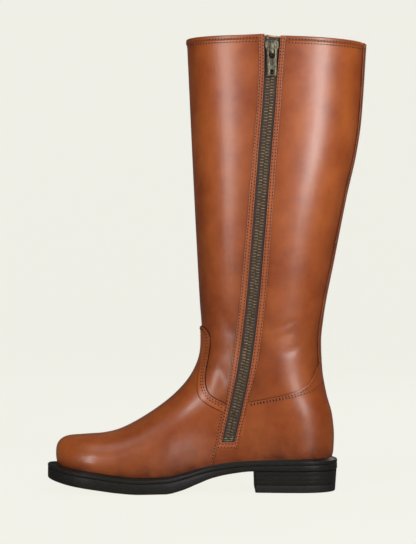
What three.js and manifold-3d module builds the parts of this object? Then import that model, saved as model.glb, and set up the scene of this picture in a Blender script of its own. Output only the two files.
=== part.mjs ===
// A woman's knee-high riding boot for the right foot, with a zip down the inner side.
// Millimetres, +Z up. The toe points along -Y and the inner (medial) side faces +X. Inside this
// file "forward" is the distance from the back of the sole towards the toe and "height" is the
// distance above the floor; the whole boot is moved to the middle of its footprint at the end.
import * as THREE from "three";
import { mergeVertices } from "three/addons/utils/BufferGeometryUtils.js";
import Module from "manifold-3d";

const wasm = await Module();
wasm.setup();

// ---- Driving sizes ------------------------------------------------------------------------

const SHAFT_TOP = 424;
const HEEL_LENGTH = 79;
const TOP_LIFT = 7;
const GAP = 0.3; // room between pieces that meet
const SEAT_GAP = 0.45; // room above the curved top of the outsole
const WALL = 2; // shaft leather with its lining
const OVERLAY = 1.1; // leather of the vamp, counter and back strip
const WELT_RISE = 3.3; // height of the welt against the upper
const WELT_RIM = 1.3; // height of the welt at its outer edge
const BACK_STRIP = 12.5; // half the width of the strip up the back
// How far the collar is cut above SHAFT_TOP at the front, at the back, on the inner side and just
// in front of the zip, and the height from which the shaft stretches to meet it.
const COLLAR = { front: 2.6, back: -1.3, inner: 1.6, zip: 1.4, reach: 22, from: 250 };

// The end of a width closes like a superellipse with this power.
const ROUND = 2.25;

// Toe of the last: where it ends, how far back its rounding reaches in plan, and the arc that
// turns its top down into its front.
const TOE_TIP = 265;
const TOE_PLAN = 44;
const TOE_FRONT = 36; // height at which the toe reaches furthest forward
const TOE_TUCK = { height: 9, depth: 1.2 }; // how the toe draws in towards the sole
const TOE_CORNER = { start: 248, power: 2.7 };
const TOE_CAP_FROM = 235; // ahead of this the front line is read as a height, behind it by distance
const SIDE_TUCK = { height: 14, share: 0.05 }; // how the sides draw in towards the sole
const WALL_SHARE = 0.85; // share of the foot's height over which its sides close to the ridge
const FOOT_TO_LEG = { from: 42, to: 125 }; // heights over which foot widths turn into leg widths

const SOLE_BACK = { forward: 0, round: 36 };
const SOLE_TOE = { forward: 274, round: 50 };
const SOLE_LIP = { inset: 1.4, rise: 1.6 }; // rounding under the edge of the outsole
const HEEL_DRAFT = 1.6; // how far the heel block draws in on its way down
const SOLE_COLUMNS = 72;
const HEEL_COLUMNS = 28;

// Sole: its two faces, and the half widths of its edge and of the foot of the last.
const STATIONS = [
  { forward: 0, bottom: 20, top: 28.2, edgeIn: 33, edgeOut: 33.5, footIn: 29, footOut: 29.5, axis: 0 },
  { forward: 40, bottom: 20, top: 27.8, edgeIn: 33, edgeOut: 34, footIn: 29.5, footOut: 30.5, axis: 0 },
  { forward: 80, bottom: 20, top: 26.6, edgeIn: 30, edgeOut: 34.5, footIn: 27.5, footOut: 32, axis: 0 },
  { forward: 100, bottom: 17.8, top: 25, edgeIn: 29.2, edgeOut: 36.5, footIn: 26.5, footOut: 33.8, axis: -1 },
  { forward: 118, bottom: 14, top: 22.4, edgeIn: 30.6, edgeOut: 39.3, footIn: 27.5, footOut: 36, axis: -2 },
  { forward: 132, bottom: 8.8, top: 19.2, edgeIn: 34, edgeOut: 42.2, footIn: 30, footOut: 38.3, axis: -2.5 },
  { forward: 148, bottom: 2.8, top: 14.8, edgeIn: 38.8, edgeOut: 46, footIn: 33.8, footOut: 41.2, axis: -2.5 },
  { forward: 162, bottom: 0, top: 12.2, edgeIn: 42.6, edgeOut: 49, footIn: 37, footOut: 43.5, axis: -2 },
  { forward: 186, bottom: 0, top: 11.6, edgeIn: 46.4, edgeOut: 51, footIn: 40, footOut: 44.8, axis: -1 },
  { forward: 206, bottom: 1.5, top: 13.4, edgeIn: 48, edgeOut: 50.4, footIn: 41, footOut: 43.8, axis: 0.5 },
  { forward: 225, bottom: 4, top: 16, edgeIn: 47.6, edgeOut: 47.4, footIn: 40.2, footOut: 40, axis: 2.5 },
  { forward: 250, bottom: 7.6, top: 19.6, edgeIn: 46, edgeOut: 43, footIn: 38.6, footOut: 35.4, axis: 4 },
  { forward: 274, bottom: 12.8, top: 24.4, edgeIn: 44.5, edgeOut: 39.5, footIn: 37.4, footOut: 32.2, axis: 5 },
];

// Top line of the foot and front line of the leg, from the toe to the collar. depth is how far
// behind the line the boot reaches its full width.
const INSTEP = [
  { forward: 262, height: 50.6, depth: 25.6 },
  { forward: 250, height: 51, depth: 26.4 },
  { forward: 235, height: 51.9, depth: 28.8 },
  { forward: 221, height: 52.9, depth: 31 },
  { forward: 205, height: 56.9, depth: 36.4 },
  { forward: 179, height: 70.8, depth: 47.5 },
  { forward: 153, height: 90.5, depth: 57 },
  { forward: 137.5, height: 109, depth: 61 },
  { forward: 129.6, height: 128, depth: 60 },
  { forward: 128.4, height: 150, depth: 60 },
  { forward: 130.4, height: 180, depth: 61 },
  { forward: 134.2, height: 250, depth: 68 },
  { forward: 138.4, height: 335, depth: 78 },
  { forward: 142.6, height: SHAFT_TOP, depth: 85 },
];

// Back line of the heel and calf, with the depth over which the back closes, and half widths.
const BACK = [
  { height: 26, forward: 8.2, depth: 34, legIn: 33, legOut: 33.5 },
  { height: 38, forward: 4.9, depth: 36, legIn: 33, legOut: 33.5 },
  { height: 52, forward: 4.3, depth: 38, legIn: 33, legOut: 33.5 },
  { height: 70, forward: 5.9, depth: 42, legIn: 33, legOut: 33.5 },
  { height: 92, forward: 11.6, depth: 48, legIn: 33, legOut: 33.5 },
  { height: 115, forward: 15.4, depth: 54, legIn: 33, legOut: 33.5 },
  { height: 140, forward: 16.5, depth: 56, legIn: 33.5, legOut: 34 },
  { height: 165, forward: 14, depth: 58, legIn: 35, legOut: 35.5 },
  { height: 220, forward: 3.6, depth: 65, legIn: 38.8, legOut: 39.2 },
  { height: 280, forward: -8.2, depth: 71, legIn: 41.6, legOut: 42 },
  { height: 320, forward: -17.1, depth: 77, legIn: 42.4, legOut: 42.8 },
  { height: 350, forward: -21.5, depth: 80, legIn: 42.2, legOut: 42.6 },
  { height: SHAFT_TOP, forward: -26.6, depth: 84, legIn: 40.2, legOut: 40.6 },
];

// Loops of the upper, from the edge at the sole to the collar: how far each has gone up the
// front line and up the back line.
const LAST_LOOP = 31;
const COLUMNS = 40;
const LOOPS = [
  { loop: 0, front: 0, back: 0 },
  { loop: 1, front: WELT_RISE + GAP, back: WELT_RISE + GAP },
  { loop: 6, front: 27, back: 19 },
  { loop: 13, front: 103, back: 46 },
  { loop: 19, front: 172, back: 86 },
  { loop: 25, front: 275, back: 183 },
  { loop: LAST_LOOP, front: 1, back: 1 }, // filled in below with the full lengths
];
const SAG_LOOPS = 10; // loops over which the curve of the sole fades from the side view

// Edge of the vamp in the side view, from the welt up to the zip and round the tall tongue.
const VAMP_EDGE = [
  { forward: 119.5, height: 18 },
  { forward: 117, height: 32 },
  { forward: 114, height: 44 },
  { forward: 111.4, height: 57 },
  { forward: 108.6, height: 70 },
  { forward: 106.4, height: 80.5 },
  { forward: 112, height: 84.6 },
  { forward: 118.4, height: 88.8 },
  { forward: 123.4, height: 93.6 },
  { forward: 125.3, height: 103 },
  { forward: 124.6, height: 113 },
  { forward: 122, height: 126 },
  { forward: 120.4, height: 138.5 },
  { forward: 121, height: 147 },
  { forward: 123.6, height: 152 },
  { forward: 128, height: 154.8 },
  { forward: 136, height: 155.4 },
];
const VAMP_REAR_ROWS = 6; // rows of VAMP_EDGE shared with the counter

// Top edge of the heel counter, from the zip to the back.
const COUNTER_EDGE = [
  { forward: 100, height: 81.6 },
  { forward: 86.5, height: 84.2 },
  { forward: 72.5, height: 86.9 },
  { forward: 60, height: 89.4 },
  { forward: 46.5, height: 92.8 },
  { forward: 35.5, height: 96.4 },
  { forward: 28.6, height: 100.8 },
  { forward: 24.4, height: 106.2 },
  { forward: 21, height: 113 },
  { forward: 18, height: 118.6 },
  { forward: 12, height: 121.2 },
];

// Centre line of the zip in the side view.
const ZIP_LINE = [
  { height: 40, forward: 105.2 },
  { height: 48, forward: 103.6 },
  { height: 85, forward: 95.3 },
  { height: 122, forward: 88 },
  { height: 178, forward: 81 },
  { height: 225, forward: 77 },
  { height: 316, forward: 69.8 },
  { height: 363, forward: 65.8 },
  { height: 440, forward: 61.8 },
];
const SLOT = { half: 6, bottom: 47, flare: 1.3, flareFrom: 385 };
const TAPE = { half: 12, thickness: 0.8, depth: 0.6, low: 40, high: 421 }; // depth behind the wall
const CHAIN = { half: 3.7, inner: -2.2, outer: -0.5, low: 53 };
const BOTTOM_STOP = { half: 3.7, inner: -2.2, outer: 0.1, low: 47.6, high: 52.7 };
const TOP_STOP = { from: 3.5, to: 5.6, inner: -2.2, outer: 0.2, low: 419.2, high: 422.6 };
const ZIP_ROWS = 28;

// Slider: sizes along Y, height against its middle, and how far each face stands off the leather.
const SLIDER = { height: 412, inner: -1.9, plateIn: 0.5, plateOut: 1.8, top: 6.2, bottom: -8.6 };
const SLIDER_HALF = { wing: 6.1, waist: 4.2, core: 3.9 };
const BRIDGE = { half: 2.1, thickness: 1.1, rise: 3.4, top: 5.6, bottom: -8 };
const PULL = {
  pivot: -1.6, // height of the hinge against the slider's middle
  standOff: 1.2, // of the hinge from the slider's plate
  radius: 0.7, // of the cross bar; the tab is twice as thick
  half: 4.2,
  length: 25.5,
  eye: { half: 3, end: 9 },
  hole: { half: 1.5, from: 19.6, to: 23.4 },
};

// ---- Tables as smooth functions -----------------------------------------------------------

const clamp = (value, low, high) => Math.min(high, Math.max(low, value));
const mix = (a, b, share) => a + (b - a) * share;

function smoothStep(from, to, value) {
  const share = clamp((value - from) / (to - from), 0, 1);
  return share * share * (3 - 2 * share);
}

// One column of a table as a curve that never overshoots its rows, level past both ends.
function column(rows, key, name) {
  const at = rows.map((row) => row[key]);
  const to = rows.map((row) => row[name]);
  const rise = at.slice(1).map((place, i) => (to[i + 1] - to[i]) / (place - at[i]));
  const slope = at.map((_, i) => {
    const [before, after] = [rise[i - 1] ?? rise[i], rise[i] ?? rise[i - 1]];
    return before * after > 0 ? (2 * before * after) / (before + after) : 0;
  });
  return (place) => {
    const x = clamp(place, at[0], at[at.length - 1]);
    const i = clamp(at.findIndex((edge) => edge >= x) - 1, 0, rise.length - 1);
    const span = at[i + 1] - at[i];
    const t = (x - at[i]) / span;
    return (
      to[i] * (1 + 2 * t) * (1 - t) ** 2 +
      to[i + 1] * t * t * (3 - 2 * t) +
      span * (slope[i] * t * (1 - t) ** 2 + slope[i + 1] * t * t * (t - 1))
    );
  };
}

const soleBottom = column(STATIONS, "forward", "bottom");
const soleTop = column(STATIONS, "forward", "top");
const edgeIn = column(STATIONS, "forward", "edgeIn");
const edgeOut = column(STATIONS, "forward", "edgeOut");
const footIn = column(STATIONS, "forward", "footIn");
const footOut = column(STATIONS, "forward", "footOut");
const footAxis = column(STATIONS, "forward", "axis");
const backLine = column(BACK, "height", "forward");
const backDepth = column(BACK, "height", "depth");
const legIn = column(BACK, "height", "legIn");
const legOut = column(BACK, "height", "legOut");
const zipLine = column(ZIP_LINE, "height", "forward");
const seat = (forward) => soleTop(forward) + SEAT_GAP; // what the upper stands on

// ---- The last -----------------------------------------------------------------------------

// Share of the full width that is left this far inside an end that rounds off over depth.
function closing(distance, depth) {
  const inside = clamp(distance / depth, 0, 1);
  return (1 - (1 - inside) ** ROUND) ** (1 / ROUND);
}

// The instep table as a fine line of points, each with its depth.
const instepCurve = new THREE.CatmullRomCurve3(
  INSTEP.map((row) => new THREE.Vector3(row.forward, row.height, row.depth)),
);
const instepLine = instepCurve.getPoints(260);

// Height of the foot's top line, which turns down at the toe.
const RIDGE_LIMIT = 100; // the front line stops being a top line at this height
const ridgePoints = instepLine
  .filter((p) => p.y < RIDGE_LIMIT)
  .map((p) => ({ at: -p.x, height: p.y }));
const ridgeTop = column(ridgePoints, "at", "height");
function ridge(forward) {
  const reach = clamp((forward - TOE_CORNER.start) / (TOE_TIP - TOE_CORNER.start), 0, 1);
  const drop = 1 - (1 - reach ** TOE_CORNER.power) ** (1 / TOE_CORNER.power);
  return ridgeTop(-forward) - (ridgeTop(-forward) - TOE_FRONT) * drop;
}

function toeTip(height) {
  const low = clamp((TOE_FRONT - height) / TOE_TUCK.height, 0, 1.2);
  return TOE_TIP - TOE_TUCK.depth * low * low;
}

// How far the boot has closed towards its top and front line at a place in the side view.
function frontClosing(forward, height) {
  if (forward > TOE_CAP_FROM) {
    const top = ridge(forward);
    return closing(top - height, WALL_SHARE * (top - seat(forward)));
  }
  let nearest = Infinity;
  let depth = 1;
  for (let i = 1; i < instepLine.length; i++) {
    const [a, b] = [instepLine[i - 1], instepLine[i]];
    const [dx, dy] = [b.x - a.x, b.y - a.y];
    const along = ((forward - a.x) * dx + (height - a.y) * dy) / (dx * dx + dy * dy);
    const share = clamp(along, 0, 1);
    const distance = Math.hypot(forward - a.x - share * dx, height - a.y - share * dy);
    if (distance < nearest) {
      nearest = distance;
      depth = mix(a.z, b.z, share);
    }
  }
  return closing(nearest, depth);
}

// X of the outer face of the upper at a place in the side view. side is 1 inside, -1 outside.
function upperX(forward, height, side) {
  const leg = smoothStep(FOOT_TO_LEG.from, FOOT_TO_LEG.to, height);
  const axis = footAxis(forward) * (1 - leg);
  const rise = clamp(1 - (height - seat(forward)) / SIDE_TUCK.height, 0, 1);
  const foot = (side > 0 ? footIn(forward) : footOut(forward)) - side * footAxis(forward);
  const width = mix(
    foot * (1 - SIDE_TUCK.share * rise * rise),
    side > 0 ? legIn(height) : legOut(height),
    leg,
  );
  const ends =
    closing(toeTip(height) - forward, TOE_PLAN) *
    closing(forward - backLine(height), backDepth(height)) *
    frontClosing(forward, height);
  return axis + side * width * ends;
}

const place = (forward, x, height) => new THREE.Vector3(x, -forward, height);

// How far the cut of the collar lifts a place in the shaft.
function collarRise(x, forward, height) {
  const [heel, shin] = [BACK[BACK.length - 1].forward, INSTEP[INSTEP.length - 1].forward];
  const slope = mix(COLLAR.back, COLLAR.front, (forward - heel) / (shin - heel));
  const inner = clamp(x / legIn(SHAFT_TOP), 0, 1) ** 2;
  const ahead = forward - zipLine(height);
  const fade = Math.exp(-((ahead / COLLAR.reach) ** 2));
  const peak = COLLAR.zip * smoothStep(-SLOT.half, SLOT.half, ahead) * fade;
  return (slope + inner * (COLLAR.inner + peak)) * smoothStep(COLLAR.from, SHAFT_TOP, height);
}

// A point on the inner side of the upper, moved out along the surface's normal.
function innerSide(forward, height, offset) {
  const step = 0.5;
  const here = upperX(forward, height, 1);
  const normal = new THREE.Vector3(
    1,
    (upperX(forward + step, height, 1) - upperX(forward - step, height, 1)) / (2 * step),
    (upperX(forward, height - step, 1) - upperX(forward, height + step, 1)) / (2 * step),
  ).normalize();
  return place(forward, here, height).addScaledVector(normal, offset);
}

// The front line of the upper in the side view, from the sole at the toe up to the collar.
function frontLine() {
  const points = [];
  const [steps, corner] = [8, 24];
  const low = seat(toeTip(0));
  for (let i = 0; i < steps; i++) {
    const height = mix(low, TOE_FRONT, i / steps);
    points.push(new THREE.Vector2(toeTip(height), height));
  }
  for (let i = 0; i < corner; i++) {
    const forward = mix(TOE_CORNER.start, TOE_TIP, Math.cos((Math.PI / 2) * (i / corner)));
    points.push(new THREE.Vector2(forward, ridge(forward)));
  }
  for (const p of instepLine)
    if (p.x < TOE_CORNER.start) points.push(new THREE.Vector2(p.x, p.y));
  return points;
}

// Loops round the upper. Point 0 is at the back, then the outer side, the front, the inner side.
function upperLoops() {
  const front = frontLine();
  const lengths = [0];
  for (let i = 1; i < front.length; i++)
    lengths.push(lengths[i - 1] + front[i].distanceTo(front[i - 1]));
  const total = lengths[lengths.length - 1];
  const along = (length) => {
    const i = clamp(lengths.findIndex((l) => l >= length), 1, front.length - 1);
    const share = (length - lengths[i - 1]) / (lengths[i] - lengths[i - 1]);
    return front[i - 1].clone().lerp(front[i], share);
  };
  const heelSeat = seat(backLine(0));
  const rows = LOOPS.map((row) => ({ ...row }));
  Object.assign(rows[rows.length - 1], { front: total, back: SHAFT_TOP - heelSeat });
  const frontAt = column(rows, "loop", "front");
  const backAt = column(rows, "loop", "back");
  const chord = (forward) =>
    mix(heelSeat, front[0].y, (forward - backLine(heelSeat)) / (front[0].x - backLine(heelSeat)));
  const loops = [];
  for (let loop = 0; loop <= LAST_LOOP; loop++) {
    const nose = along(frontAt(loop));
    const backHeight = heelSeat + backAt(loop);
    const heel = new THREE.Vector2(backLine(backHeight), backHeight);
    const sag = 1 - smoothStep(1, SAG_LOOPS, loop);
    loops.push(
      Array.from({ length: COLUMNS }, (_, i) => {
        const angle = (2 * Math.PI * i) / COLUMNS;
        const side = Math.sin(angle) >= 0 ? -1 : 1;
        const share = (1 - Math.cos(angle)) / 2;
        const forward = mix(heel.x, nose.x, share);
        const straight = mix(heel.y, nose.y, share);
        const height = straight + sag * (seat(forward) - chord(forward));
        const onLine = i % (COLUMNS / 2) === 0;
        const x = onLine
          ? footAxis(forward) * (1 - smoothStep(FOOT_TO_LEG.from, FOOT_TO_LEG.to, height))
          : upperX(forward, height, side);
        return place(forward, x, height);
      }),
    );
  }
  return loops;
}

// The loops moved out by offset along the surface's normals, level at the sole and the collar.
function moved(loops, offset) {
  return loops.map((loop, j) =>
    loop.map((point, i) => {
      const around = loop[(i + 1) % COLUMNS].clone().sub(loop[(i + COLUMNS - 1) % COLUMNS]);
      const up = loops[Math.min(j + 1, LAST_LOOP)][i].clone().sub(loops[Math.max(j - 1, 0)][i]);
      const normal = around.cross(up);
      if (j === 0 || j === LAST_LOOP) normal.z = 0;
      return point.clone().addScaledVector(normal.normalize(), offset);
    }),
  );
}

// ---- Solids from rings of points -----------------------------------------------------------

// Triangles between rings of points, each ring above the one before.
function skin(rings) {
  const triangles = [];
  const across = rings[0].length;
  for (let j = 0; j < rings.length - 1; j++) {
    const [low, high] = [rings[j], rings[j + 1]];
    for (let i = 0; i < across; i++) {
      const k = (i + 1) % across;
      triangles.push(low[i], low[k], high[k], low[i], high[k], high[i]);
    }
  }
  return triangles;
}

// A cap across a ring whose points i and length - i face each other.
function cap(ring, flip) {
  const triangles = [];
  const half = ring.length / 2;
  for (let i = 0; i < half; i++) {
    const [a, b] = [ring[i], ring[i + 1]];
    const [c, d] = [ring[(ring.length - i - 1) % ring.length], ring[(ring.length - i) % ring.length]];
    const faces = [[a, b, c], [a, c, d]].filter((face) => new Set(face).size === 3);
    for (const face of faces) triangles.push(...(flip ? face.reverse() : face));
  }
  return triangles;
}

function geometry(triangles) {
  return mergeVertices(new THREE.BufferGeometry().setFromPoints(triangles), 1e-4);
}

// A plate through rings from its underside to its top.
const plate = (rings) =>
  geometry([...cap(rings[0], true), ...skin(rings), ...cap(rings[rings.length - 1], false)]);

// A wall between an outer and an inner set of loops. Both sides split their quads the same way.
function sleeve(outer, inner) {
  const last = outer.length - 1;
  const rims = [...skin([outer[last], inner[last]]), ...skin([inner[0], outer[0]])];
  return geometry([...skin(outer), ...skin(inner).reverse(), ...rims]);
}

// A strip between two sheets of the same rows of points.
function strip(outer, inner) {
  const rings = outer.map((row, j) => [...row, ...[...inner[j]].reverse()]);
  const ends = [];
  for (const ring of [[...rings[0]].reverse(), rings[rings.length - 1]]) {
    for (let i = 0; i < ring.length / 2 - 1; i++) {
      const [c, d] = [ring[ring.length - 2 - i], ring[ring.length - 1 - i]];
      ends.push(ring[i], ring[i + 1], c, ring[i], c, d);
    }
  }
  return geometry([...skin(rings), ...ends]);
}

// ---- Joining and cutting -------------------------------------------------------------------

function solid(source) {
  const bare = source.index ? source.toNonIndexed() : source.clone();
  const merged = mergeVertices(
    new THREE.BufferGeometry().setAttribute("position", bare.getAttribute("position")),
    1e-4,
  );
  return new wasm.Manifold(
    new wasm.Mesh({
      numProp: 3,
      vertProperties: merged.attributes.position.array,
      triVerts: new Uint32Array(merged.index.array),
    }),
  );
}

function fromSolid(made) {
  const mesh = made.getMesh();
  const result = new THREE.BufferGeometry();
  result.setAttribute("position", new THREE.BufferAttribute(mesh.vertProperties, 3));
  result.setIndex(new THREE.BufferAttribute(mesh.triVerts, 1));
  return result;
}

// A prism through the boot from an outline in the side view, between two values of X.
function sideCutter(outline, fromX, toX) {
  const shape = new THREE.Shape(outline.map((p) => new THREE.Vector2(p.forward, p.height)));
  const prism = new THREE.ExtrudeGeometry(shape, { depth: toX - fromX, bevelEnabled: false });
  // Shape X turns to -Y, shape Y to Z and the depth to -X.
  const turn = new THREE.Matrix4().makeBasis(
    new THREE.Vector3(0, -1, 0),
    new THREE.Vector3(0, 0, 1),
    new THREE.Vector3(-1, 0, 0),
  );
  return solid(prism.applyMatrix4(turn).translate(toX, 0, 0));
}

// ---- Pieces of leather ---------------------------------------------------------------------

const FAR = 320; // beyond every side of the boot
const loops = upperLoops();
const boot = new THREE.Group();
boot.name = "knee_boot";

function add(name, source, colour, roughness, metalness = 0, follows = true) {
  const shape = source.getAttribute ? source : fromSolid(source);
  const bare = shape.index ? shape.toNonIndexed() : shape;
  const at = bare.getAttribute("position");
  for (let i = 0; follows && i < at.count; i++)
    at.setZ(i, at.getZ(i) + collarRise(at.getX(i), -at.getY(i), at.getZ(i)));
  bare.computeVertexNormals();
  const look = new THREE.MeshStandardMaterial({ color: colour, roughness, metalness });
  const mesh = new THREE.Mesh(bare, look);
  mesh.name = name;
  boot.add(mesh);
}

const LEATHER = 0x9c5229;
const BLACK = 0x1f1e1c;
const BRASS = 0x7d6c40;
const STEEL = 0x77725e;
const BARE_LEATHER = 0xb98a5c;
const TAPE_CLOTH = 0x33261d;

function slotOutline() {
  const rows = [];
  const steps = 24;
  for (let i = 0; i <= steps; i++) rows.push(mix(SLOT.bottom, SHAFT_TOP + 6, i / steps));
  const half = (height) => SLOT.half + SLOT.flare * smoothStep(SLOT.flareFrom, SHAFT_TOP, height);
  return [
    ...rows.map((height) => ({ forward: zipLine(height) - half(height), height })),
    ...rows.reverse().map((height) => ({ forward: zipLine(height) + half(height), height })),
  ];
}
const slotCut = sideCutter(slotOutline(), 5, 90);

const hull = sleeve(loops, moved(loops, -WALL));
add("upper", solid(hull).subtract(slotCut), LEATHER, 0.4);

// Overlays are cut from one skin that lies over the upper and stops above the welt.
const skinLoops = (offset) => moved(loops, offset).slice(1);
const overlay = solid(sleeve(skinLoops(GAP + OVERLAY), skinLoops(GAP)));

const vampOutline = [
  { forward: 119.5, height: -FAR },
  ...VAMP_EDGE,
  { forward: FAR, height: VAMP_EDGE[VAMP_EDGE.length - 1].height },
  { forward: FAR, height: -FAR },
];
add("vamp", overlay.intersect(sideCutter(vampOutline, -FAR, FAR)), LEATHER, 0.4);

const counterOutline = [
  { forward: 119.5 - GAP, height: -FAR },
  ...VAMP_EDGE.slice(0, VAMP_REAR_ROWS).map((p) => ({ forward: p.forward - GAP, height: p.height })),
  ...COUNTER_EDGE,
  { forward: -FAR, height: COUNTER_EDGE[COUNTER_EDGE.length - 1].height },
  { forward: -FAR, height: -FAR },
];
const counterPiece = overlay.intersect(sideCutter(counterOutline, -FAR, FAR)).subtract(slotCut);
add("heel_counter", counterPiece, LEATHER, 0.4);

const stripOutline = [
  ...COUNTER_EDGE.slice(3).map((p) => ({ forward: p.forward, height: p.height + GAP })),
  { forward: -FAR, height: COUNTER_EDGE[COUNTER_EDGE.length - 1].height + GAP },
  { forward: -FAR, height: FAR * 2 },
  { forward: COUNTER_EDGE[3].forward, height: FAR * 2 },
];
add("back_strip", overlay.intersect(sideCutter(stripOutline, -BACK_STRIP, BACK_STRIP)), LEATHER, 0.4);

add("insole", plate(moved(loops, -WALL - GAP).slice(0, 2)), BARE_LEATHER, 0.7);

// ---- Sole ----------------------------------------------------------------------------------

// A ring round the edge of the sole, drawn in by inset, at the height of level(forward).
function soleRing(inset, level, columns = SOLE_COLUMNS) {
  return Array.from({ length: columns }, (_, i) => {
    const angle = (2 * Math.PI * i) / columns;
    const side = Math.sin(angle) >= 0 ? -1 : 1;
    const share = (1 - Math.cos(angle)) / 2;
    const forward = mix(SOLE_BACK.forward + inset, SOLE_TOE.forward - inset, share);
    const axis = footAxis(forward);
    const full = (side > 0 ? edgeIn(forward) : edgeOut(forward)) - side * axis - inset;
    const ends =
      closing(forward - SOLE_BACK.forward - inset, SOLE_BACK.round - inset) *
      closing(SOLE_TOE.forward - inset - forward, SOLE_TOE.round - inset);
    const onLine = i % (columns / 2) === 0;
    return place(forward, onLine ? axis : axis + side * full * ends, level(forward));
  });
}

const outsoleRings = [
  soleRing(SOLE_LIP.inset, soleBottom),
  soleRing(0, (forward) => soleBottom(forward) + SOLE_LIP.rise),
  soleRing(0, soleTop),
];
add("outsole", plate(outsoleRings), BLACK, 0.45);

const lowered = (ring, by) => ring.map((p) => p.clone().setZ(p.z - by));
const welt = [
  moved(loops, GAP)[0],
  soleRing(0, seat, COLUMNS),
  soleRing(0.2, (forward) => seat(forward) + WELT_RIM, COLUMNS),
  lowered(moved(loops, GAP)[1], GAP),
];
add("welt", geometry(skin([...welt, welt[0]])), BLACK, 0.4);

// The heel's outline: the back of the sole's, closed by a straight breast.
function heelRing(inset, height) {
  const half = HEEL_COLUMNS / 2;
  const breast = HEEL_LENGTH - inset * 0.4;
  return Array.from({ length: HEEL_COLUMNS }, (_, i) => {
    const step = Math.min(i, HEEL_COLUMNS - i);
    const side = i <= half ? -1 : 1;
    const share = Math.min(1, 1 - Math.cos((Math.PI * step) / (2 * (half - 1))));
    const forward = mix(SOLE_BACK.forward + inset, breast, share);
    const full = (side > 0 ? edgeIn(forward) : edgeOut(forward)) - inset;
    const x = full * closing(forward - SOLE_BACK.forward - inset, SOLE_BACK.round - inset);
    return place(forward, step === 0 || step === half ? 0 : side * x, height);
  });
}
const heelTop = soleBottom(0) - GAP;
add("heel_block", plate([heelRing(HEEL_DRAFT, TOP_LIFT + GAP), heelRing(0.5, heelTop)]), BLACK, 0.45);
add("top_lift", plate([heelRing(HEEL_DRAFT + 0.3, 0), heelRing(HEEL_DRAFT, TOP_LIFT)]), BLACK, 0.7);

// ---- Zip -----------------------------------------------------------------------------------

// A strip along the zip between two offsets of the leather's outer face.
function zipStrip({ low, high, from, to, inner, outer }, rows, across) {
  const sheet = (offset) =>
    Array.from({ length: rows + 1 }, (_, j) => {
      const height = mix(low, high, j / rows);
      return Array.from({ length: across + 1 }, (_, i) =>
        innerSide(zipLine(height) + mix(to, from, i / across), height, offset),
      );
    });
  return strip(sheet(outer), sheet(inner));
}

const tapeOuter = -WALL - TAPE.depth;
const tapeFaces = { inner: tapeOuter - TAPE.thickness, outer: tapeOuter };
const tape = { ...tapeFaces, low: TAPE.low, high: TAPE.high, from: -TAPE.half, to: TAPE.half };
add("zip_tape", zipStrip(tape, ZIP_ROWS, 4), TAPE_CLOTH, 0.9);

const chainTop = SLIDER.height + SLIDER.bottom - 3 * GAP;
const chain = { ...CHAIN, high: chainTop, from: -CHAIN.half, to: CHAIN.half };
add("zip_chain", zipStrip(chain, ZIP_ROWS, 2), BRASS, 0.4, 1);
const bottomStop = { ...BOTTOM_STOP, from: -BOTTOM_STOP.half, to: BOTTOM_STOP.half };
add("zip_bottom_stop", zipStrip(bottomStop, 1, 2), STEEL, 0.4, 1);
add("zip_top_stop_front", zipStrip(TOP_STOP, 1, 1), STEEL, 0.4, 1);
const rearStop = { ...TOP_STOP, from: -TOP_STOP.to, to: -TOP_STOP.from };
add("zip_top_stop_back", zipStrip(rearStop, 1, 1), STEEL, 0.4, 1);

// Middle of the slider, on the leather's outer face. Its own X stands off the leather, and the
// slider and its pull keep their shape where the shaft stretches to the collar.
const sliderAt = innerSide(zipLine(SLIDER.height), SLIDER.height, 0);
sliderAt.z += collarRise(sliderAt.x, -sliderAt.y, sliderAt.z);

// A box in the slider's own directions.
function block(x, y, z) {
  const box = new THREE.BoxGeometry(x[1] - x[0], y[1] - y[0], z[1] - z[0]);
  return solid(box.translate((x[0] + x[1]) / 2, (y[0] + y[1]) / 2, (z[0] + z[1]) / 2));
}

// A plate lying flat against the leather from an outline of [Y, Z] corners.
function flatPlate(corners, fromX, toX) {
  const shape = new THREE.Shape(corners.map(([y, z]) => new THREE.Vector2(y, z)));
  const slab = new THREE.ExtrudeGeometry(shape, { depth: toX - fromX, bevelEnabled: false });
  // Shape X turns to Y, shape Y to Z and the depth to X.
  const turn = new THREE.Matrix4().makeBasis(
    new THREE.Vector3(0, 1, 0),
    new THREE.Vector3(0, 0, 1),
    new THREE.Vector3(1, 0, 0),
  );
  return solid(slab.applyMatrix4(turn).translate(fromX, 0, 0));
}

const mirrored = (corners) => [...corners, ...corners.map(([y, z]) => [-y, z]).reverse()];

const sliderOutline = mirrored([
  [SLIDER_HALF.waist - 1, SLIDER.bottom],
  [SLIDER_HALF.waist, SLIDER.bottom + 1],
  [SLIDER_HALF.waist, -2.8],
  [SLIDER_HALF.wing, 0],
  [SLIDER_HALF.wing, SLIDER.top - 1.2],
  [SLIDER_HALF.wing - 1.4, SLIDER.top],
]);
const bridgeOut = SLIDER.plateOut + BRIDGE.rise;
const PLATE_LAP = 0.2; // how far the core and the bridge run into the slider's plate
const bridge = block(
  [SLIDER.plateOut - PLATE_LAP, bridgeOut],
  [-BRIDGE.half, BRIDGE.half],
  [BRIDGE.bottom, BRIDGE.top],
).subtract(
  block(
    [SLIDER.plateOut, bridgeOut - BRIDGE.thickness],
    [-BRIDGE.half - 1, BRIDGE.half + 1],
    [BRIDGE.bottom + BRIDGE.thickness, BRIDGE.top - BRIDGE.thickness],
  ),
);
const core = block(
  [SLIDER.inner, SLIDER.plateOut - PLATE_LAP],
  [-SLIDER_HALF.core, SLIDER_HALF.core],
  [SLIDER.bottom, SLIDER.top],
);
const slider = flatPlate(sliderOutline, SLIDER.plateIn, SLIDER.plateOut).add(core).add(bridge);
add("zip_slider", slider.translate(sliderAt.toArray()), STEEL, 0.4, 1, false);

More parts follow.
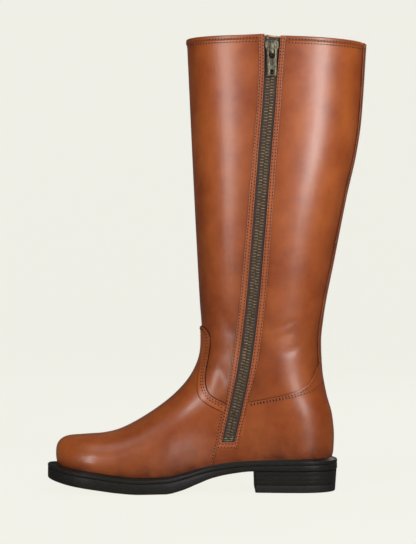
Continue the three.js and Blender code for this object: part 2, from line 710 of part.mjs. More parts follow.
const hinge = sliderAt.clone().add(new THREE.Vector3(SLIDER.plateOut + PULL.standOff, 0, PULL.pivot));
const tabOutline = mirrored([
  [PULL.half - 1.6, -PULL.length],
  [PULL.half, -PULL.length + 1.6],
  [PULL.half, -1],
  [PULL.half - 1.2, PULL.radius],
]);
const { eye, hole, radius } = PULL;
const tab = flatPlate(tabOutline, -radius, radius)
  .subtract(block([-FAR, FAR], [-eye.half, eye.half], [-eye.end, -radius]))
  .subtract(block([-FAR, FAR], [-hole.half, hole.half], [-hole.to, -hole.from]));
add("zip_pull", tab.translate(hinge.toArray()), STEEL, 0.4, 1, false);

// ---- The whole boot stands on the floor with its footprint round the origin -----------------

const box = new THREE.Box3().setFromObject(boot);
const middle = box.getCenter(new THREE.Vector3());
boot.position.set(-middle.x, -middle.y, -box.min.z);

export default boot;
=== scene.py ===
import math

import bpy
import numpy as np
from mathutils import Matrix, Vector


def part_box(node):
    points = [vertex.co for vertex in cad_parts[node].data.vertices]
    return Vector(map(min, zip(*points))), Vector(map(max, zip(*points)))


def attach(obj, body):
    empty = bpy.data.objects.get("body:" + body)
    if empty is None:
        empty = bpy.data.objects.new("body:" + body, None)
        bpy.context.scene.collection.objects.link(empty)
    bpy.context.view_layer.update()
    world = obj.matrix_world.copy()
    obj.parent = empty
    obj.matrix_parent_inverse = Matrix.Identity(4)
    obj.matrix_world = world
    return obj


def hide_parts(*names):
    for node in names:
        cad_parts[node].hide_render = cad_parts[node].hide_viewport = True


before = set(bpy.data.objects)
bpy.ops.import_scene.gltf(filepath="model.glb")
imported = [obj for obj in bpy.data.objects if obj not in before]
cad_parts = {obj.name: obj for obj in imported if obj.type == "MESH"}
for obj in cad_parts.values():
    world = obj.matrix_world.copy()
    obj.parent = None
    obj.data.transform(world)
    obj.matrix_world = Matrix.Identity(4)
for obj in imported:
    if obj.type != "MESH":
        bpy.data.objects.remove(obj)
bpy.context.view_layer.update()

MM = 0.001

# ---- Studio ---------------------------------------------------------------------------------
# A pale paper floor inside a wide pale bowl, tall soft boxes beside the camera, and a level camera
# that looks square at the boot's inner side. The paper is kept out of the boot's gloss.

CAMERA_DISTANCE = 1.75
CAMERA_HEIGHT = 0.2065
CAMERA_ASIDE = 0.0005
VIEW_WIDTH = 0.3956  # width of the view at the boot
SENSOR = 36.0

bpy.ops.object.camera_add(
    location=(CAMERA_DISTANCE, CAMERA_ASIDE, CAMERA_HEIGHT),
    rotation=(math.pi / 2, 0.0, math.pi / 2),
)
camera = bpy.context.object
camera.data.sensor_fit = "HORIZONTAL"
camera.data.sensor_width = SENSOR
camera.data.lens = SENSOR * CAMERA_DISTANCE / VIEW_WIDTH
camera.data.clip_start = 0.05
camera.data.clip_end = 50.0
bpy.context.scene.camera = camera
bpy.context.scene.view_settings.view_transform = "Standard"


def shader(material):
    """The main shader of a material with nodes."""
    return material.node_tree.nodes["Principled BSDF"]


def new_material(name, colour, roughness, metallic=0.0):
    material = bpy.data.materials.new(name)
    material.use_nodes = True
    main = shader(material)
    main.inputs["Base Color"].default_value = (*colour, 1.0)
    main.inputs["Roughness"].default_value = roughness
    main.inputs["Metallic"].default_value = metallic
    return material


PAPER = 0.035  # share of light that the paper returns
PAPER_GLOW = (1.0, 1.0, 0.92, 1.0)
PAPER_GLOW_STRENGTH = 0.855
FLOOR_DEEP, FLOOR_WIDE, FLOOR_BEHIND = 5.0, 6.0, 1.5
BOWL_FLAT = 5.5  # radius of the bowl's level middle
BOWL_BEND = 1.6
BOWL_WALL = 7.0
FLOOR_DROP, BOWL_DROP = 0.0002, 0.0006  # how far below the sole they lie

paper = new_material("studio_paper", (PAPER, PAPER, PAPER * 0.96), 0.9)
shader(paper).inputs["Emission Color"].default_value = PAPER_GLOW
shader(paper).inputs["Emission Strength"].default_value = PAPER_GLOW_STRENGTH
shader(paper).inputs["Specular IOR Level"].default_value = 0.0
bpy.ops.mesh.primitive_grid_add(x_subdivisions=10, y_subdivisions=10, size=1.0)
floor = bpy.context.object
floor.name = "studio_floor"
for vertex in floor.data.vertices:
    vertex.co = (vertex.co.x * FLOOR_DEEP - FLOOR_BEHIND, vertex.co.y * FLOOR_WIDE, -FLOOR_DROP)

bowl_run = BOWL_FLAT + BOWL_BEND * math.pi / 2 + BOWL_WALL
bpy.ops.mesh.primitive_grid_add(x_subdivisions=72, y_subdivisions=60, size=1.0)
bowl = bpy.context.object
bowl.name = "studio_bowl"
for vertex in bowl.data.vertices:
    around = (vertex.co.x + 0.5) * 2 * math.pi
    run = (vertex.co.y + 0.5) * bowl_run
    climb = min(max(run - BOWL_FLAT, 0.0) / BOWL_BEND, math.pi / 2)
    reach = min(run, BOWL_FLAT) + BOWL_BEND * math.sin(climb)
    height = BOWL_BEND * (1 - math.cos(climb)) + max(0.0, run - bowl_run + BOWL_WALL)
    vertex.co = (reach * math.cos(around), reach * math.sin(around), height - BOWL_DROP)
bpy.ops.object.shade_smooth()
bowl.visible_diffuse = False
for sheet in (floor, bowl):
    sheet.visible_glossy = False
    sheet.data.materials.append(paper)

world = bpy.data.worlds.new("studio_world")
bpy.context.scene.world = world
world.use_nodes = True
room_light = world.node_tree.nodes["Background"]
room_light.inputs["Color"].default_value = (1.0, 0.99, 0.97, 1.0)
room_light.inputs["Strength"].default_value = 0.1


def soft_box(name, place, aim, width, height, power, lean):
    bpy.ops.object.light_add(type="AREA", location=place)
    lamp = bpy.context.object
    lamp.name = name
    lamp.data.shape = "RECTANGLE"
    lamp.data.size = width
    lamp.data.size_y = height
    lamp.data.energy = power
    direction = Vector(aim) - Vector(place)
    lamp.rotation_euler = direction.to_track_quat("-Z", "Y").to_euler()
    lamp.rotation_euler.rotate_axis("Z", lean)


soft_box("front_box", (1.32, -0.80, 0.68), (0.0, 0.0, 0.24), 0.32, 1.1, 13.5, -0.2)
soft_box("rear_box", (1.31, 0.83, 0.72), (0.0, 0.0, 0.26), 0.24, 1.1, 19.5, 0.08)
soft_box("heel_box", (1.27, 0.79, 0.24), (0.0, 0.08, 0.12), 0.3, 0.14, 2.2, 0.0)
soft_box("far_box", (-1.2, 0.8, 1.2), (0.0, 0.0, 0.2), 1.0, 1.0, 12.0, 0.0)
soft_box("top_box", (0.5, -0.2, 1.7), (0.0, 0.0, 0.1), 1.0, 1.0, 6.0, 0.0)

# ---- Leather upper --------------------------------------------------------------------------
# The shaft and the foot are one closed shape of tan calf leather drawn over a last. Its side
# view gives the outline, and its half width at each place closes towards the back, the toe and
# the front line like a superellipse.

MIDDLE = (0.0014888, 0.123)  # where X = 0 of the last and the back of the sole lie in the frame
SHAFT_TOP = 424.0
SEAT_GAP = 0.45  # between the outsole's top and the last
ROUND = 2.25  # power of the rounding, where 2 would be an ellipse
TOE_TIP = 265.0
TOE_PLAN = 44.0  # length over which the toe closes, seen from above
TOE_FRONT = 36.0  # height of the toe's upright front
TOE_TUCK = (9.0, 1.2)  # height and depth by which the toe draws in below that
TOE_CORNER = (248.0, 2.7)  # where the top starts to turn down, and the power of the turn
TOE_BOX = 235.0  # ahead of this the sides close straight up to the top
SIDE_TUCK = (14.0, 0.05)  # height and share by which the sides draw in to the welt
WALL_SHARE = 0.85  # share of the toe's height over which its sides close
FOOT_TO_LEG = (42.0, 125.0)  # heights between which the foot's width becomes the leg's

# forward, bottom, top, edge inside, edge outside, foot inside, foot outside, axis
STATIONS = np.array([
    (0, 20, 28.2, 33, 33.5, 29, 29.5, 0),
    (40, 20, 27.8, 33, 34, 29.5, 30.5, 0),
    (80, 20, 26.6, 30, 34.5, 27.5, 32, 0),
    (100, 17.8, 25, 29.2, 36.5, 26.5, 33.8, -1),
    (118, 14, 22.4, 30.6, 39.3, 27.5, 36, -2),
    (132, 8.8, 19.2, 34, 42.2, 30, 38.3, -2.5),
    (148, 2.8, 14.8, 38.8, 46, 33.8, 41.2, -2.5),
    (162, 0, 12.2, 42.6, 49, 37, 43.5, -2),
    (186, 0, 11.6, 46.4, 51, 40, 44.8, -1),
    (206, 1.5, 13.4, 48, 50.4, 41, 43.8, 0.5),
    (225, 4, 16, 47.6, 47.4, 40.2, 40, 2.5),
    (250, 7.6, 19.6, 46, 43, 38.6, 35.4, 4),
    (274, 12.8, 24.4, 44.5, 39.5, 37.4, 32.2, 5),
], float)

# forward, height, depth over which the sides close
INSTEP = np.array([
    (262, 50.6, 25.6),
    (250, 51, 26.4),
    (235, 51.9, 28.8),
    (221, 52.9, 31),
    (205, 56.9, 36.4),
    (179, 70.8, 47.5),
    (153, 90.5, 57),
    (137.5, 109, 61),
    (129.6, 128, 60),
    (128.4, 150, 60),
    (130.4, 180, 61),
    (134.2, 250, 68),
    (138.4, 335, 78),
    (142.6, SHAFT_TOP, 85),
], float)

# height, forward, depth over which the back closes, half width inside, half width outside
BACK = np.array([
    (26, 8.2, 34, 33, 33.5),
    (38, 4.9, 36, 33, 33.5),
    (52, 4.3, 38, 33, 33.5),
    (70, 5.9, 42, 33, 33.5),
    (92, 11.6, 48, 33, 33.5),
    (115, 15.4, 54, 33, 33.5),
    (140, 16.5, 56, 33.5, 34),
    (165, 14, 58, 35, 35.5),
    (220, 3.6, 65, 38.8, 39.2),
    (280, -8.2, 71, 41.6, 42),
    (320, -17.1, 77, 42.4, 42.8),
    (350, -21.5, 80, 42.2, 42.6),
    (SHAFT_TOP, -26.6, 84, 40.2, 40.6),
], float)


def column(table, key, value):
    """One column of a table as a smooth curve that never overshoots its rows."""
    at, to = table[:, key], table[:, value]
    rise = np.diff(to) / np.diff(at)
    before = np.concatenate([rise[:1], rise])
    after = np.concatenate([rise, rise[-1:]])
    same = before * after > 0
    slope = np.where(same, 2 * before * after / np.where(same, before + after, 1.0), 0.0)

    def curve(place):
        x = np.clip(place, at[0], at[-1])
        i = np.clip(np.searchsorted(at, x) - 1, 0, len(rise) - 1)
        span = at[i + 1] - at[i]
        t = (x - at[i]) / span
        level = to[i] * (1 + 2 * t) * (1 - t) ** 2 + to[i + 1] * t * t * (3 - 2 * t)
        return level + span * (slope[i] * t * (1 - t) ** 2 + slope[i + 1] * t * t * (t - 1))

    return curve


sole_bottom, sole_top, edge_in, edge_out, foot_in, foot_out, foot_axis = (
    column(STATIONS, 0, value) for value in range(1, 8)
)
back_line, back_depth, leg_in, leg_out = (column(BACK, 0, value) for value in range(1, 5))


def seat(forward):
    return sole_top(forward) + SEAT_GAP


def mix(a, b, share):
    return a + (b - a) * share


def unit(vectors):
    return vectors / np.linalg.norm(vectors, axis=-1, keepdims=True)


def smooth_step(low, high, value):
    share = np.clip((value - low) / (high - low), 0.0, 1.0)
    return share * share * (3 - 2 * share)


def closing(distance, depth):
    inside = np.clip(distance / depth, 0.0, 1.0)
    return (1 - (1 - inside) ** ROUND) ** (1 / ROUND)


def smooth_line(rows, pieces):
    """A table's rows joined by one smooth line of this many pieces."""
    rows = np.asarray(rows, float)
    ends = [2 * rows[0] - rows[1], *rows, 2 * rows[-1] - rows[-2]]
    spans = len(rows) - 1
    line = []
    for j in range(pieces + 1):
        i = min(int(j * spans / pieces), spans - 1)
        t = j * spans / pieces - i
        p0, p1, p2, p3 = ends[i:i + 4]
        d0, d1, d2 = (np.sum((b - a) ** 2) ** 0.25 for a, b in ((p0, p1), (p1, p2), (p2, p3)))
        t1 = ((p1 - p0) / d0 - (p2 - p0) / (d0 + d1) + (p2 - p1) / d1) * d1
        t2 = ((p2 - p1) / d1 - (p3 - p1) / (d1 + d2) + (p3 - p2) / d2) * d1
        line.append(
            p1 + t1 * t + (3 * (p2 - p1) - 2 * t1 - t2) * t ** 2
            + (2 * (p1 - p2) + t1 + t2) * t ** 3
        )
    return np.array(line)


RIDGE_HIGH = 100.0  # the line over the toe and instep is followed up to here
BATCH = 4000  # points measured against the line at a time
INSTEP_LINE = smooth_line(INSTEP, 260)
ridge_rows = INSTEP_LINE[INSTEP_LINE[:, 1] < RIDGE_HIGH]
ridge_top = column(np.stack([-ridge_rows[:, 0], ridge_rows[:, 1]], 1), 0, 1)


def ridge(forward):
    reach = np.clip((forward - TOE_CORNER[0]) / (TOE_TIP - TOE_CORNER[0]), 0.0, 1.0)
    drop = 1 - (1 - reach ** TOE_CORNER[1]) ** (1 / TOE_CORNER[1])
    return ridge_top(-forward) - (ridge_top(-forward) - TOE_FRONT) * drop


def toe_tip(height):
    low = np.clip((TOE_FRONT - height) / TOE_TUCK[0], 0.0, 1.2)
    return TOE_TIP - TOE_TUCK[1] * low * low


def front_closing(forward, height):
    """How far the boot has closed towards its top and front line."""
    result = np.ones(forward.shape)
    ahead = forward > TOE_BOX
    top = ridge(forward)
    over = closing(top - height, WALL_SHARE * (top - seat(forward)))
    a, b = INSTEP_LINE[:-1], INSTEP_LINE[1:]
    step = (b - a)[:, :2]
    length = np.sum(step ** 2, axis=1)
    flat_f, flat_h = forward.ravel(), height.ravel()
    near = np.empty(flat_f.shape)
    for start in range(0, len(flat_f), BATCH):
        part = slice(start, start + BATCH)
        df = flat_f[part, None] - a[None, :, 0]
        dh = flat_h[part, None] - a[None, :, 1]
        share = np.clip((df * step[:, 0] + dh * step[:, 1]) / length, 0.0, 1.0)
        gap = np.hypot(df - share * step[:, 0], dh - share * step[:, 1])
        best = np.argmin(gap, axis=1)
        rows = np.arange(len(best))
        depth = mix(a[best, 2], b[best, 2], share[rows, best])
        near[part] = closing(gap[rows, best], depth)
    result[ahead] = over[ahead]
    result[~ahead] = near.reshape(forward.shape)[~ahead]
    return result


def axis_at(forward, height):
    return foot_axis(forward) * (1 - smooth_step(*FOOT_TO_LEG, height))


def upper_x(forward, height, side):
    """X of the outer face of the upper. side is 1 inside and -1 outside, for each point."""
    leg = smooth_step(*FOOT_TO_LEG, height)
    rise = np.clip(1 - (height - seat(forward)) / SIDE_TUCK[0], 0.0, 1.0)
    foot = np.where(side > 0, foot_in(forward), foot_out(forward)) - side * foot_axis(forward)
    foot = foot * (1 - SIDE_TUCK[1] * rise * rise)
    width = mix(foot, np.where(side > 0, leg_in(height), leg_out(height)), leg)
    ends = closing(toe_tip(height) - forward, TOE_PLAN)
    ends = ends * closing(forward - back_line(height), back_depth(height))
    ends = ends * front_closing(forward, height)
    return axis_at(forward, height) + side * width * ends


def on_upper(forward, height, side):
    """Points of the upper's outer face, in millimetres from the back of the sole."""
    forward, height = np.asarray(forward, float), np.asarray(height, float)
    side = np.broadcast_to(np.asarray(side, float), forward.shape)
    return np.stack([upper_x(forward, height, side), -forward, height], axis=-1)


def face_normal(forward, height, side, step=0.4):
    x_forward = upper_x(forward + step, height, side) - upper_x(forward - step, height, side)
    x_height = upper_x(forward, height + step, side) - upper_x(forward, height - step, side)
    return unit(np.stack([side, side * x_forward / (2 * step), -side * x_height / (2 * step)], axis=-1))


def row_normals(rows, around):
    """Outward normals of rows of points that run anticlockwise and rise."""
    if around:
        along = np.roll(rows, -1, axis=1) - np.roll(rows, 1, axis=1)
    else:
        along = np.gradient(rows, axis=1)
    area = np.cross(along, np.gradient(rows, axis=0))
    # neighbours steady the places where the sheet is gathered to almost nothing
    ends = "wrap" if around else "edge"
    wide = np.pad(area, ((0, 0), (1, 1), (0, 0)), mode=ends)
    area = area + 0.5 * (wide[:, 2:] + wide[:, :-2])
    tall = np.pad(area, ((1, 1), (0, 0), (0, 0)), mode="edge")
    return unit(area + 0.25 * (tall[2:] + tall[:-2]))


# How far the collar is cut above SHAFT_TOP at the front, at the back, on the inner side and just
# in front of the zip, and the height from which the shaft stretches to meet it.
COLLAR_FRONT, COLLAR_BACK, COLLAR_INNER, COLLAR_ZIP = 2.6, -1.3, 1.6, 1.4
COLLAR_REACH, COLLAR_FROM = 22.0, 250.0

# height, forward of the zip's centre line
ZIP_LINE = np.array([
    (30, 107.6), (40, 105.2), (48, 103.6), (85, 95.3), (122, 88), (178, 81),
    (225, 77), (316, 69.8), (363, 65.8), (440, 61.8),
], float)
SLOT = 6.0
SLOT_EDGE = 6.6
zip_at = column(ZIP_LINE, 0, 1)


def collar_rise(x, forward, height):
    """How far the cut of the collar lifts a place in the shaft."""
    slope = mix(COLLAR_BACK, COLLAR_FRONT, (forward - BACK[-1, 1]) / (INSTEP[-1, 0] - BACK[-1, 1]))
    inner = np.clip(x / leg_in(SHAFT_TOP), 0, 1) ** 2
    ahead = forward - zip_at(height)
    peak = COLLAR_ZIP * smooth_step(-SLOT, SLOT, ahead) * np.exp(-(ahead / COLLAR_REACH) ** 2)
    return (slope + inner * (COLLAR_INNER + peak)) * smooth_step(COLLAR_FROM, SHAFT_TOP, height)


def in_frame(points):
    """Millimetres from the back of the sole to metres in the frame, cut to the collar's line."""
    placed = points + np.array([MIDDLE[0] / MM, MIDDLE[1] / MM, 0.0])
    placed[..., 2] += collar_rise(points[..., 0], -points[..., 1], points[..., 2])
    return placed * MM


def grid_piece(name, rows, around=False, burnish_and_shade=None, place=in_frame):
    """A sheet from rows of points. The grid's own map becomes metres along and up the sheet."""
    tall, across = rows.shape[:2]
    columns = across + 1 if around else across
    bpy.ops.object.select_all(action="DESELECT")
    bpy.ops.mesh.primitive_grid_add(x_subdivisions=columns - 1, y_subdivisions=tall - 1, size=2)
    piece = bpy.context.object
    piece.name = name
    mesh = piece.data
    mesh.name = name
    flat = np.empty(len(mesh.vertices) * 3)
    mesh.vertices.foreach_get("co", flat)
    flat = flat.reshape(-1, 3)
    i = np.rint((flat[:, 0] + 1) / 2 * (columns - 1)).astype(int)
    j = np.rint((flat[:, 1] + 1) / 2 * (tall - 1)).astype(int)
    placed = place(rows)[j, i % across]
    mesh.vertices.foreach_set("co", placed.ravel())
    wrapped = np.concatenate([rows, rows[:, :1]], axis=1) if around else rows
    along = np.zeros((tall, columns))
    along[:, 1:] = np.cumsum(np.linalg.norm(np.diff(wrapped, axis=1), axis=-1), axis=1)
    up = np.zeros((tall, columns))
    up[1:] = np.cumsum(np.linalg.norm(np.diff(wrapped, axis=0), axis=-1), axis=0)
    corner = np.empty(len(mesh.loops), int)
    mesh.loops.foreach_get("vertex_index", corner)
    chart = np.stack([along[j, i], up[j, i]], axis=1) * MM
    mesh.uv_layers[0].data.foreach_set("uv", chart[corner].ravel())
    # a point attribute of burnishing and painted shade, which darkens the leather
    if burnish_and_shade is not None:
        shade = mesh.attributes.new("burnish_and_shade", "FLOAT", "POINT")
        shade.data.foreach_set("value", burnish_and_shade[j, i % across].astype(np.float32))
    if around:
        bpy.ops.object.mode_set(mode="EDIT")
        bpy.ops.mesh.select_all(action="SELECT")
        bpy.ops.mesh.remove_doubles(threshold=1e-6)
        bpy.ops.object.mode_set(mode="OBJECT")
    mesh.update()
    return piece


def pick(piece):
    """Makes a piece the one that is selected and active."""
    bpy.ops.object.select_all(action="DESELECT")
    piece.select_set(True)
    bpy.context.view_layer.objects.active = piece


def finish_piece(piece, material, thickness=0.0, outward=-1.0, edge=0.0, smooth=50.0):
    """Gives a sheet its thickness and material. outward 1 grows out, -1 grows in."""
    pick(piece)
    if thickness:
        wall = piece.modifiers.new("wall", "SOLIDIFY")
        wall.thickness = thickness * MM
        wall.offset = outward
        wall.use_even_offset = True
        bpy.ops.object.modifier_apply(modifier=wall.name)
    if edge:
        soft = piece.modifiers.new("edge", "BEVEL")
        soft.width = edge * MM
        soft.segments = 2
        soft.limit_method = "ANGLE"
        soft.angle_limit = math.radians(55)
        soft.use_clamp_overlap = True
        bpy.ops.object.modifier_apply(modifier=soft.name)
    bpy.ops.object.shade_smooth_by_angle(angle=math.radians(smooth))
    piece.data.materials.clear()
    piece.data.materials.append(material)


# Creases in the shaft: side, both ends as forward and height, half width, depth (down is in)
CREASES = (
    (1, 112, 118, 104, 98, 6.0, -0.7),
    (1, 119, 112, 116, 96, 4.0, 0.4),
    (1, 108, 168, 99, 146, 7.0, -0.7),
    (1, 118, 172, 112, 156, 5.0, 0.3),
    (1, 40, 162, 66, 150, 2.2, -0.35),
    (1, 44, 150, 68, 141, 2.0, -0.3),
    (1, 30, 140, 52, 130, 4.0, -0.4),
    (-1, 112, 120, 100, 100, 7.0, -0.9),
    (-1, 108, 165, 92, 150, 7.0, -0.8),
    (-1, 40, 160, 66, 148, 4.0, -0.6),
    (-1, 30, 140, 58, 128, 5.0, -0.6),
)


def creased(forward, height, side):
    """How far the leather's folds stand off the last."""
    depth = np.zeros(np.shape(forward))
    for on_side, f0, h0, f1, h1, width, amount in CREASES:
        span = np.hypot(f1 - f0, h1 - h0)
        along = ((forward - f0) * (f1 - f0) + (height - h0) * (h1 - h0)) / span
        across = ((forward - f0) * (h1 - h0) - (height - h0) * (f1 - f0)) / span
        fade = np.exp(-((np.clip(along / span - 0.5, -9, 9) * 2) ** 4))
        depth = depth + (side == on_side) * amount * fade * np.exp(-((across / width) ** 2))
    if np.any(side > 0):
        from_zip = np.abs(forward - zip_at(height))
        depth = depth * np.where(side > 0, smooth_step(9.0, 18.0, from_zip), 1.0)
    return depth


def front_at(height):
    return np.interp(height, INSTEP_LINE[:, 1], INSTEP_LINE[:, 0])


def end_spaced(count):
    """Shares from 0 to 1 that crowd towards 1, where the boot closes."""
    return 1 - (1 - np.linspace(0, 1, count)) ** ROUND


def both_spaced(count):
    """Shares from 0 to 1 that crowd towards both ends."""
    t = np.linspace(0, 2, count)
    return np.where(t < 1, t ** ROUND / 2, 1 - (2 - t) ** ROUND / 2)


def flare_at(height):
    """How much wider the zip's gap is on each side near the collar."""
    return 1.3 * smooth_step(385, SHAFT_TOP, height)


def shaft_rows(heights, gap):
    """Level rows round the leg, from the back edge of the zip to its front edge."""
    behind, outer, ahead = end_spaced(40), both_spaced(80)[1:], 1 - end_spaced(32)[::-1]
    rows = []
    for height in heights:
        back, front = back_line(height), front_at(height)
        reach = gap + flare_at(height)
        rear, fore = zip_at(height) - reach, zip_at(height) + reach
        rows.append(np.concatenate([
            mix(rear, back, behind), mix(back, front, outer), mix(front, fore, ahead[1:]),
        ]))
    forward = np.array(rows)
    side = np.concatenate([np.ones(len(behind)), -np.ones(len(outer)), np.ones(len(ahead) - 1)])
    height = np.repeat(heights[:, None], forward.shape[1], axis=1)
    return forward, height, np.broadcast_to(side, forward.shape)


def creased_rows(forward, height, side):
    rows = on_upper(forward, height, side)
    return rows + row_normals(rows, False) * creased(forward, height, side)[..., None]


def add_node(material, kind, **values):
    """A node of this kind. Names with a capital set its inputs, others its own settings."""
    node = material.node_tree.nodes.new(kind)
    for name, value in values.items():
        if name[0].isupper():
            node.inputs[name.replace("_", " ")].default_value = value
        else:
            setattr(node, name, value)
    return node


def join(material, source, output, target, entry):
    material.node_tree.links.new(source.outputs[output], target.inputs[entry])


def colour_ramp(material, stops):
    ramp = material.node_tree.nodes.new("ShaderNodeValToRGB")
    elements = ramp.color_ramp.elements
    elements[0].position, elements[0].color = stops[0][0], (*stops[0][1], 1.0)
    elements[1].position, elements[1].color = stops[-1][0], (*stops[-1][1], 1.0)
    for place, colour in stops[1:-1]:
        elements.new(place).color = (*colour, 1.0)
    return ramp


def pattern(material, kind, **values):
    """A texture that is fixed to the piece itself."""
    texture = add_node(material, kind, **values)
    join(material, add_node(material, "ShaderNodeTexCoord"), "Object", texture, "Vector")
    return texture


def dyed(material, source, output, stops):
    """Colours the material by the level of a texture."""
    dye = colour_ramp(material, stops)
    join(material, source, output, dye, "Fac")
    join(material, dye, "Color", shader(material), "Base Color")
    return dye


def polished(material, texture, low, high):
    """Turns the roughness from low to high with the level of a texture."""
    polish = add_node(material, "ShaderNodeMapRange", To_Min=low, To_Max=high)
    join(material, texture, "Fac", polish, "Value")
    join(material, polish, "Result", shader(material), "Roughness")


def raised(material, source, output, strength, distance):
    """Raises the surface by the level of a texture, over the relief that it already has."""
    relief = add_node(material, "ShaderNodeBump", Strength=strength, Distance=distance)
    join(material, source, output, relief, "Height")
    for under in shader(material).inputs["Normal"].links:
        material.node_tree.links.new(under.from_socket, relief.inputs["Normal"])
    join(material, relief, "Normal", shader(material), "Normal")


def leather(name, light, dark, burnt_and_shaded, roughness=0.33, grain=0.25):
    """Smooth calf: cloudy dye, darker where the attribute for burnishing and painted shade is high, and
    fine pores.
    """
    material = new_material(name, light, roughness)
    clouds = pattern(material, "ShaderNodeTexNoise", Scale=26.0, Detail=5.0, Roughness=0.6)
    dye = dyed(material, clouds, "Fac", [(0.32, dark), (0.72, light)])
    # the attribute holds real burnishing and painted shade; smears make the darkening uneven
    burnish_and_shade = add_node(material, "ShaderNodeAttribute", attribute_name="burnish_and_shade")
    smears = pattern(material, "ShaderNodeTexNoise", Scale=48.0, Detail=4.0, Roughness=0.65)
    uneven = add_node(
        material, "ShaderNodeMapRange", From_Min=0.32, From_Max=0.68, To_Min=0.6, To_Max=1.15
    )
    join(material, smears, "Fac", uneven, "Value")
    stain_and_shade = add_node(material, "ShaderNodeMath", operation="MULTIPLY", use_clamp=True)
    join(material, burnish_and_shade, "Fac", stain_and_shade, 0)
    join(material, uneven, "Result", stain_and_shade, 1)
    rub_and_shade = add_node(material, "ShaderNodeMix", data_type="RGBA")
    rub_and_shade.inputs[7].default_value = (*burnt_and_shaded, 1.0)
    join(material, stain_and_shade, "Value", rub_and_shade, 0)
    join(material, dye, "Color", rub_and_shade, 6)
    join(material, rub_and_shade, 2, shader(material), "Base Color")
    polished(material, clouds, roughness - 0.06, roughness + 0.08)
    pores = pattern(material, "ShaderNodeTexVoronoi", Scale=1100.0)
    raised(material, pores, "Distance", grain, 0.00012)
    wrinkle = pattern(material, "ShaderNodeTexNoise", Scale=420.0, Detail=4.0)
    raised(material, wrinkle, "Fac", grain, 0.0002)
    shader(material).inputs["Specular IOR Level"].default_value = 0.35
    shader(material).inputs["Coat Weight"].default_value = 0.26
    shader(material).inputs["Coat Roughness"].default_value = 0.24
    return material


TAN = (0.33, 0.081, 0.014)
TAN_DARK = (0.2, 0.036, 0.005)
# the colour that burnishing and painted shade darken the calf towards
TAN_BURNT_AND_SHADED = (0.075, 0.012, 0.001)
calf = leather("tan_calf", TAN, TAN_DARK, TAN_BURNT_AND_SHADED)


def low_stain_and_shade(forward, height):
    """A rubbed finish with painted shade: dark along the welt and over the ankle, clearer up the leg;
    the low boot is darkened as if less light from above reached it.
    """
    above = np.clip(height - seat(forward) - 3.5, 0, None)
    feather = 0.5 * np.exp(-above / 5.0) + 0.35 * np.exp(-(above / 28.0) ** 2)
    foot = 0.3 * (1 - smooth_step(90, 330, height)) * (1 - smooth_step(180, 225, forward))
    return feather + foot


SHAFT_LEATHER = 1.1
SHAFT_LOW = 72.0  # the vamp and the counter cover everything below this
shaft_heights = np.linspace(SHAFT_LOW, SHAFT_TOP - 0.4, 120)
shaft_forward, shaft_height, shaft_side = shaft_rows(shaft_heights, SLOT_EDGE)
# Darker beside the zip, below the collar and along the leg's front and back edges: burnishing, with
# painted shade at the edges where the leg turns away.
beside_zip = np.exp(-((shaft_forward - zip_at(shaft_height)) / 17.0) ** 2) * (shaft_side > 0)
along_front = np.exp(-((front_at(shaft_height) - shaft_forward) / 12.0) ** 2)
along_back = np.exp(-((shaft_forward - back_line(shaft_height)) / 9.0) ** 2)
below_collar = np.exp(-(SHAFT_TOP - shaft_height) / 8.0)
shaft_shade = 0.55 * beside_zip + 0.5 * along_front + 0.35 * along_back + 0.25 * below_collar
shaft_shade = shaft_shade + low_stain_and_shade(shaft_forward, shaft_height)
shaft = grid_piece(
    "shaft", creased_rows(shaft_forward, shaft_height, shaft_side), burnish_and_shade=np.clip(shaft_shade, 0, 1)
)
finish_piece(shaft, calf, SHAFT_LEATHER, -1.0)
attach(shaft, "boot")
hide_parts("upper")

# ---- Lining ---------------------------------------------------------------------------------
# The leather inside of the boot, from the collar down to the insole. It is thin natural calf,
# closed round the foot and glued to the upper.

LINING_DEPTH = 1.6
LINING = 0.4
LINING_FOOT = 0.5  # how far above the seat it ends
LINING_BACK = 8.0  # how far ahead of the sole's back its lowest place lies


def run_of(line):
    """How far along a line each of its points lies."""
    return np.concatenate([[0], np.cumsum(np.linalg.norm(np.diff(line, axis=0), axis=1))])


def walk(line, shares):
    """Points at these shares of a line's length."""
    line = np.asarray(line, float)
    run = run_of(line[:, :2])
    at = np.asarray(shares) * run[-1]
    return np.stack([np.interp(at, run, line[:, k]) for k in range(line.shape[1])], axis=-1)


def front_outline(bottom, top):
    """The front of the side view, from the sole at the toe up to this height."""
    heights = np.linspace(bottom, TOE_FRONT, 10)[:-1]
    low = np.stack([toe_tip(heights), heights], axis=1)
    turn = np.linspace(0, math.pi / 2, 40)[:-1]
    forward = mix(TOE_CORNER[0], TOE_TIP, np.cos(turn))
    corner = np.stack([forward, ridge(forward)], axis=1)
    rest = INSTEP_LINE[(INSTEP_LINE[:, 0] < TOE_CORNER[0]) & (INSTEP_LINE[:, 1] < top)][:, :2]
    last = np.array([[front_at(top), top]])
    return np.concatenate([low, corner, rest, last])


# How far each loop of the lining has gone up the front line and up the back line.
LOOPS = np.array([
    (0, 0, 0), (1, 3.6, 3.6), (6, 27, 19), (13, 103, 46), (19, 172, 86), (25, 275, 183),
    (31, 545, 395),
], float)


def there_and_back(places, returned):
    """A ring: out over these places and back over the others, without both ends twice."""
    return np.concatenate([places, returned[..., -2:0:-1]], axis=-1)


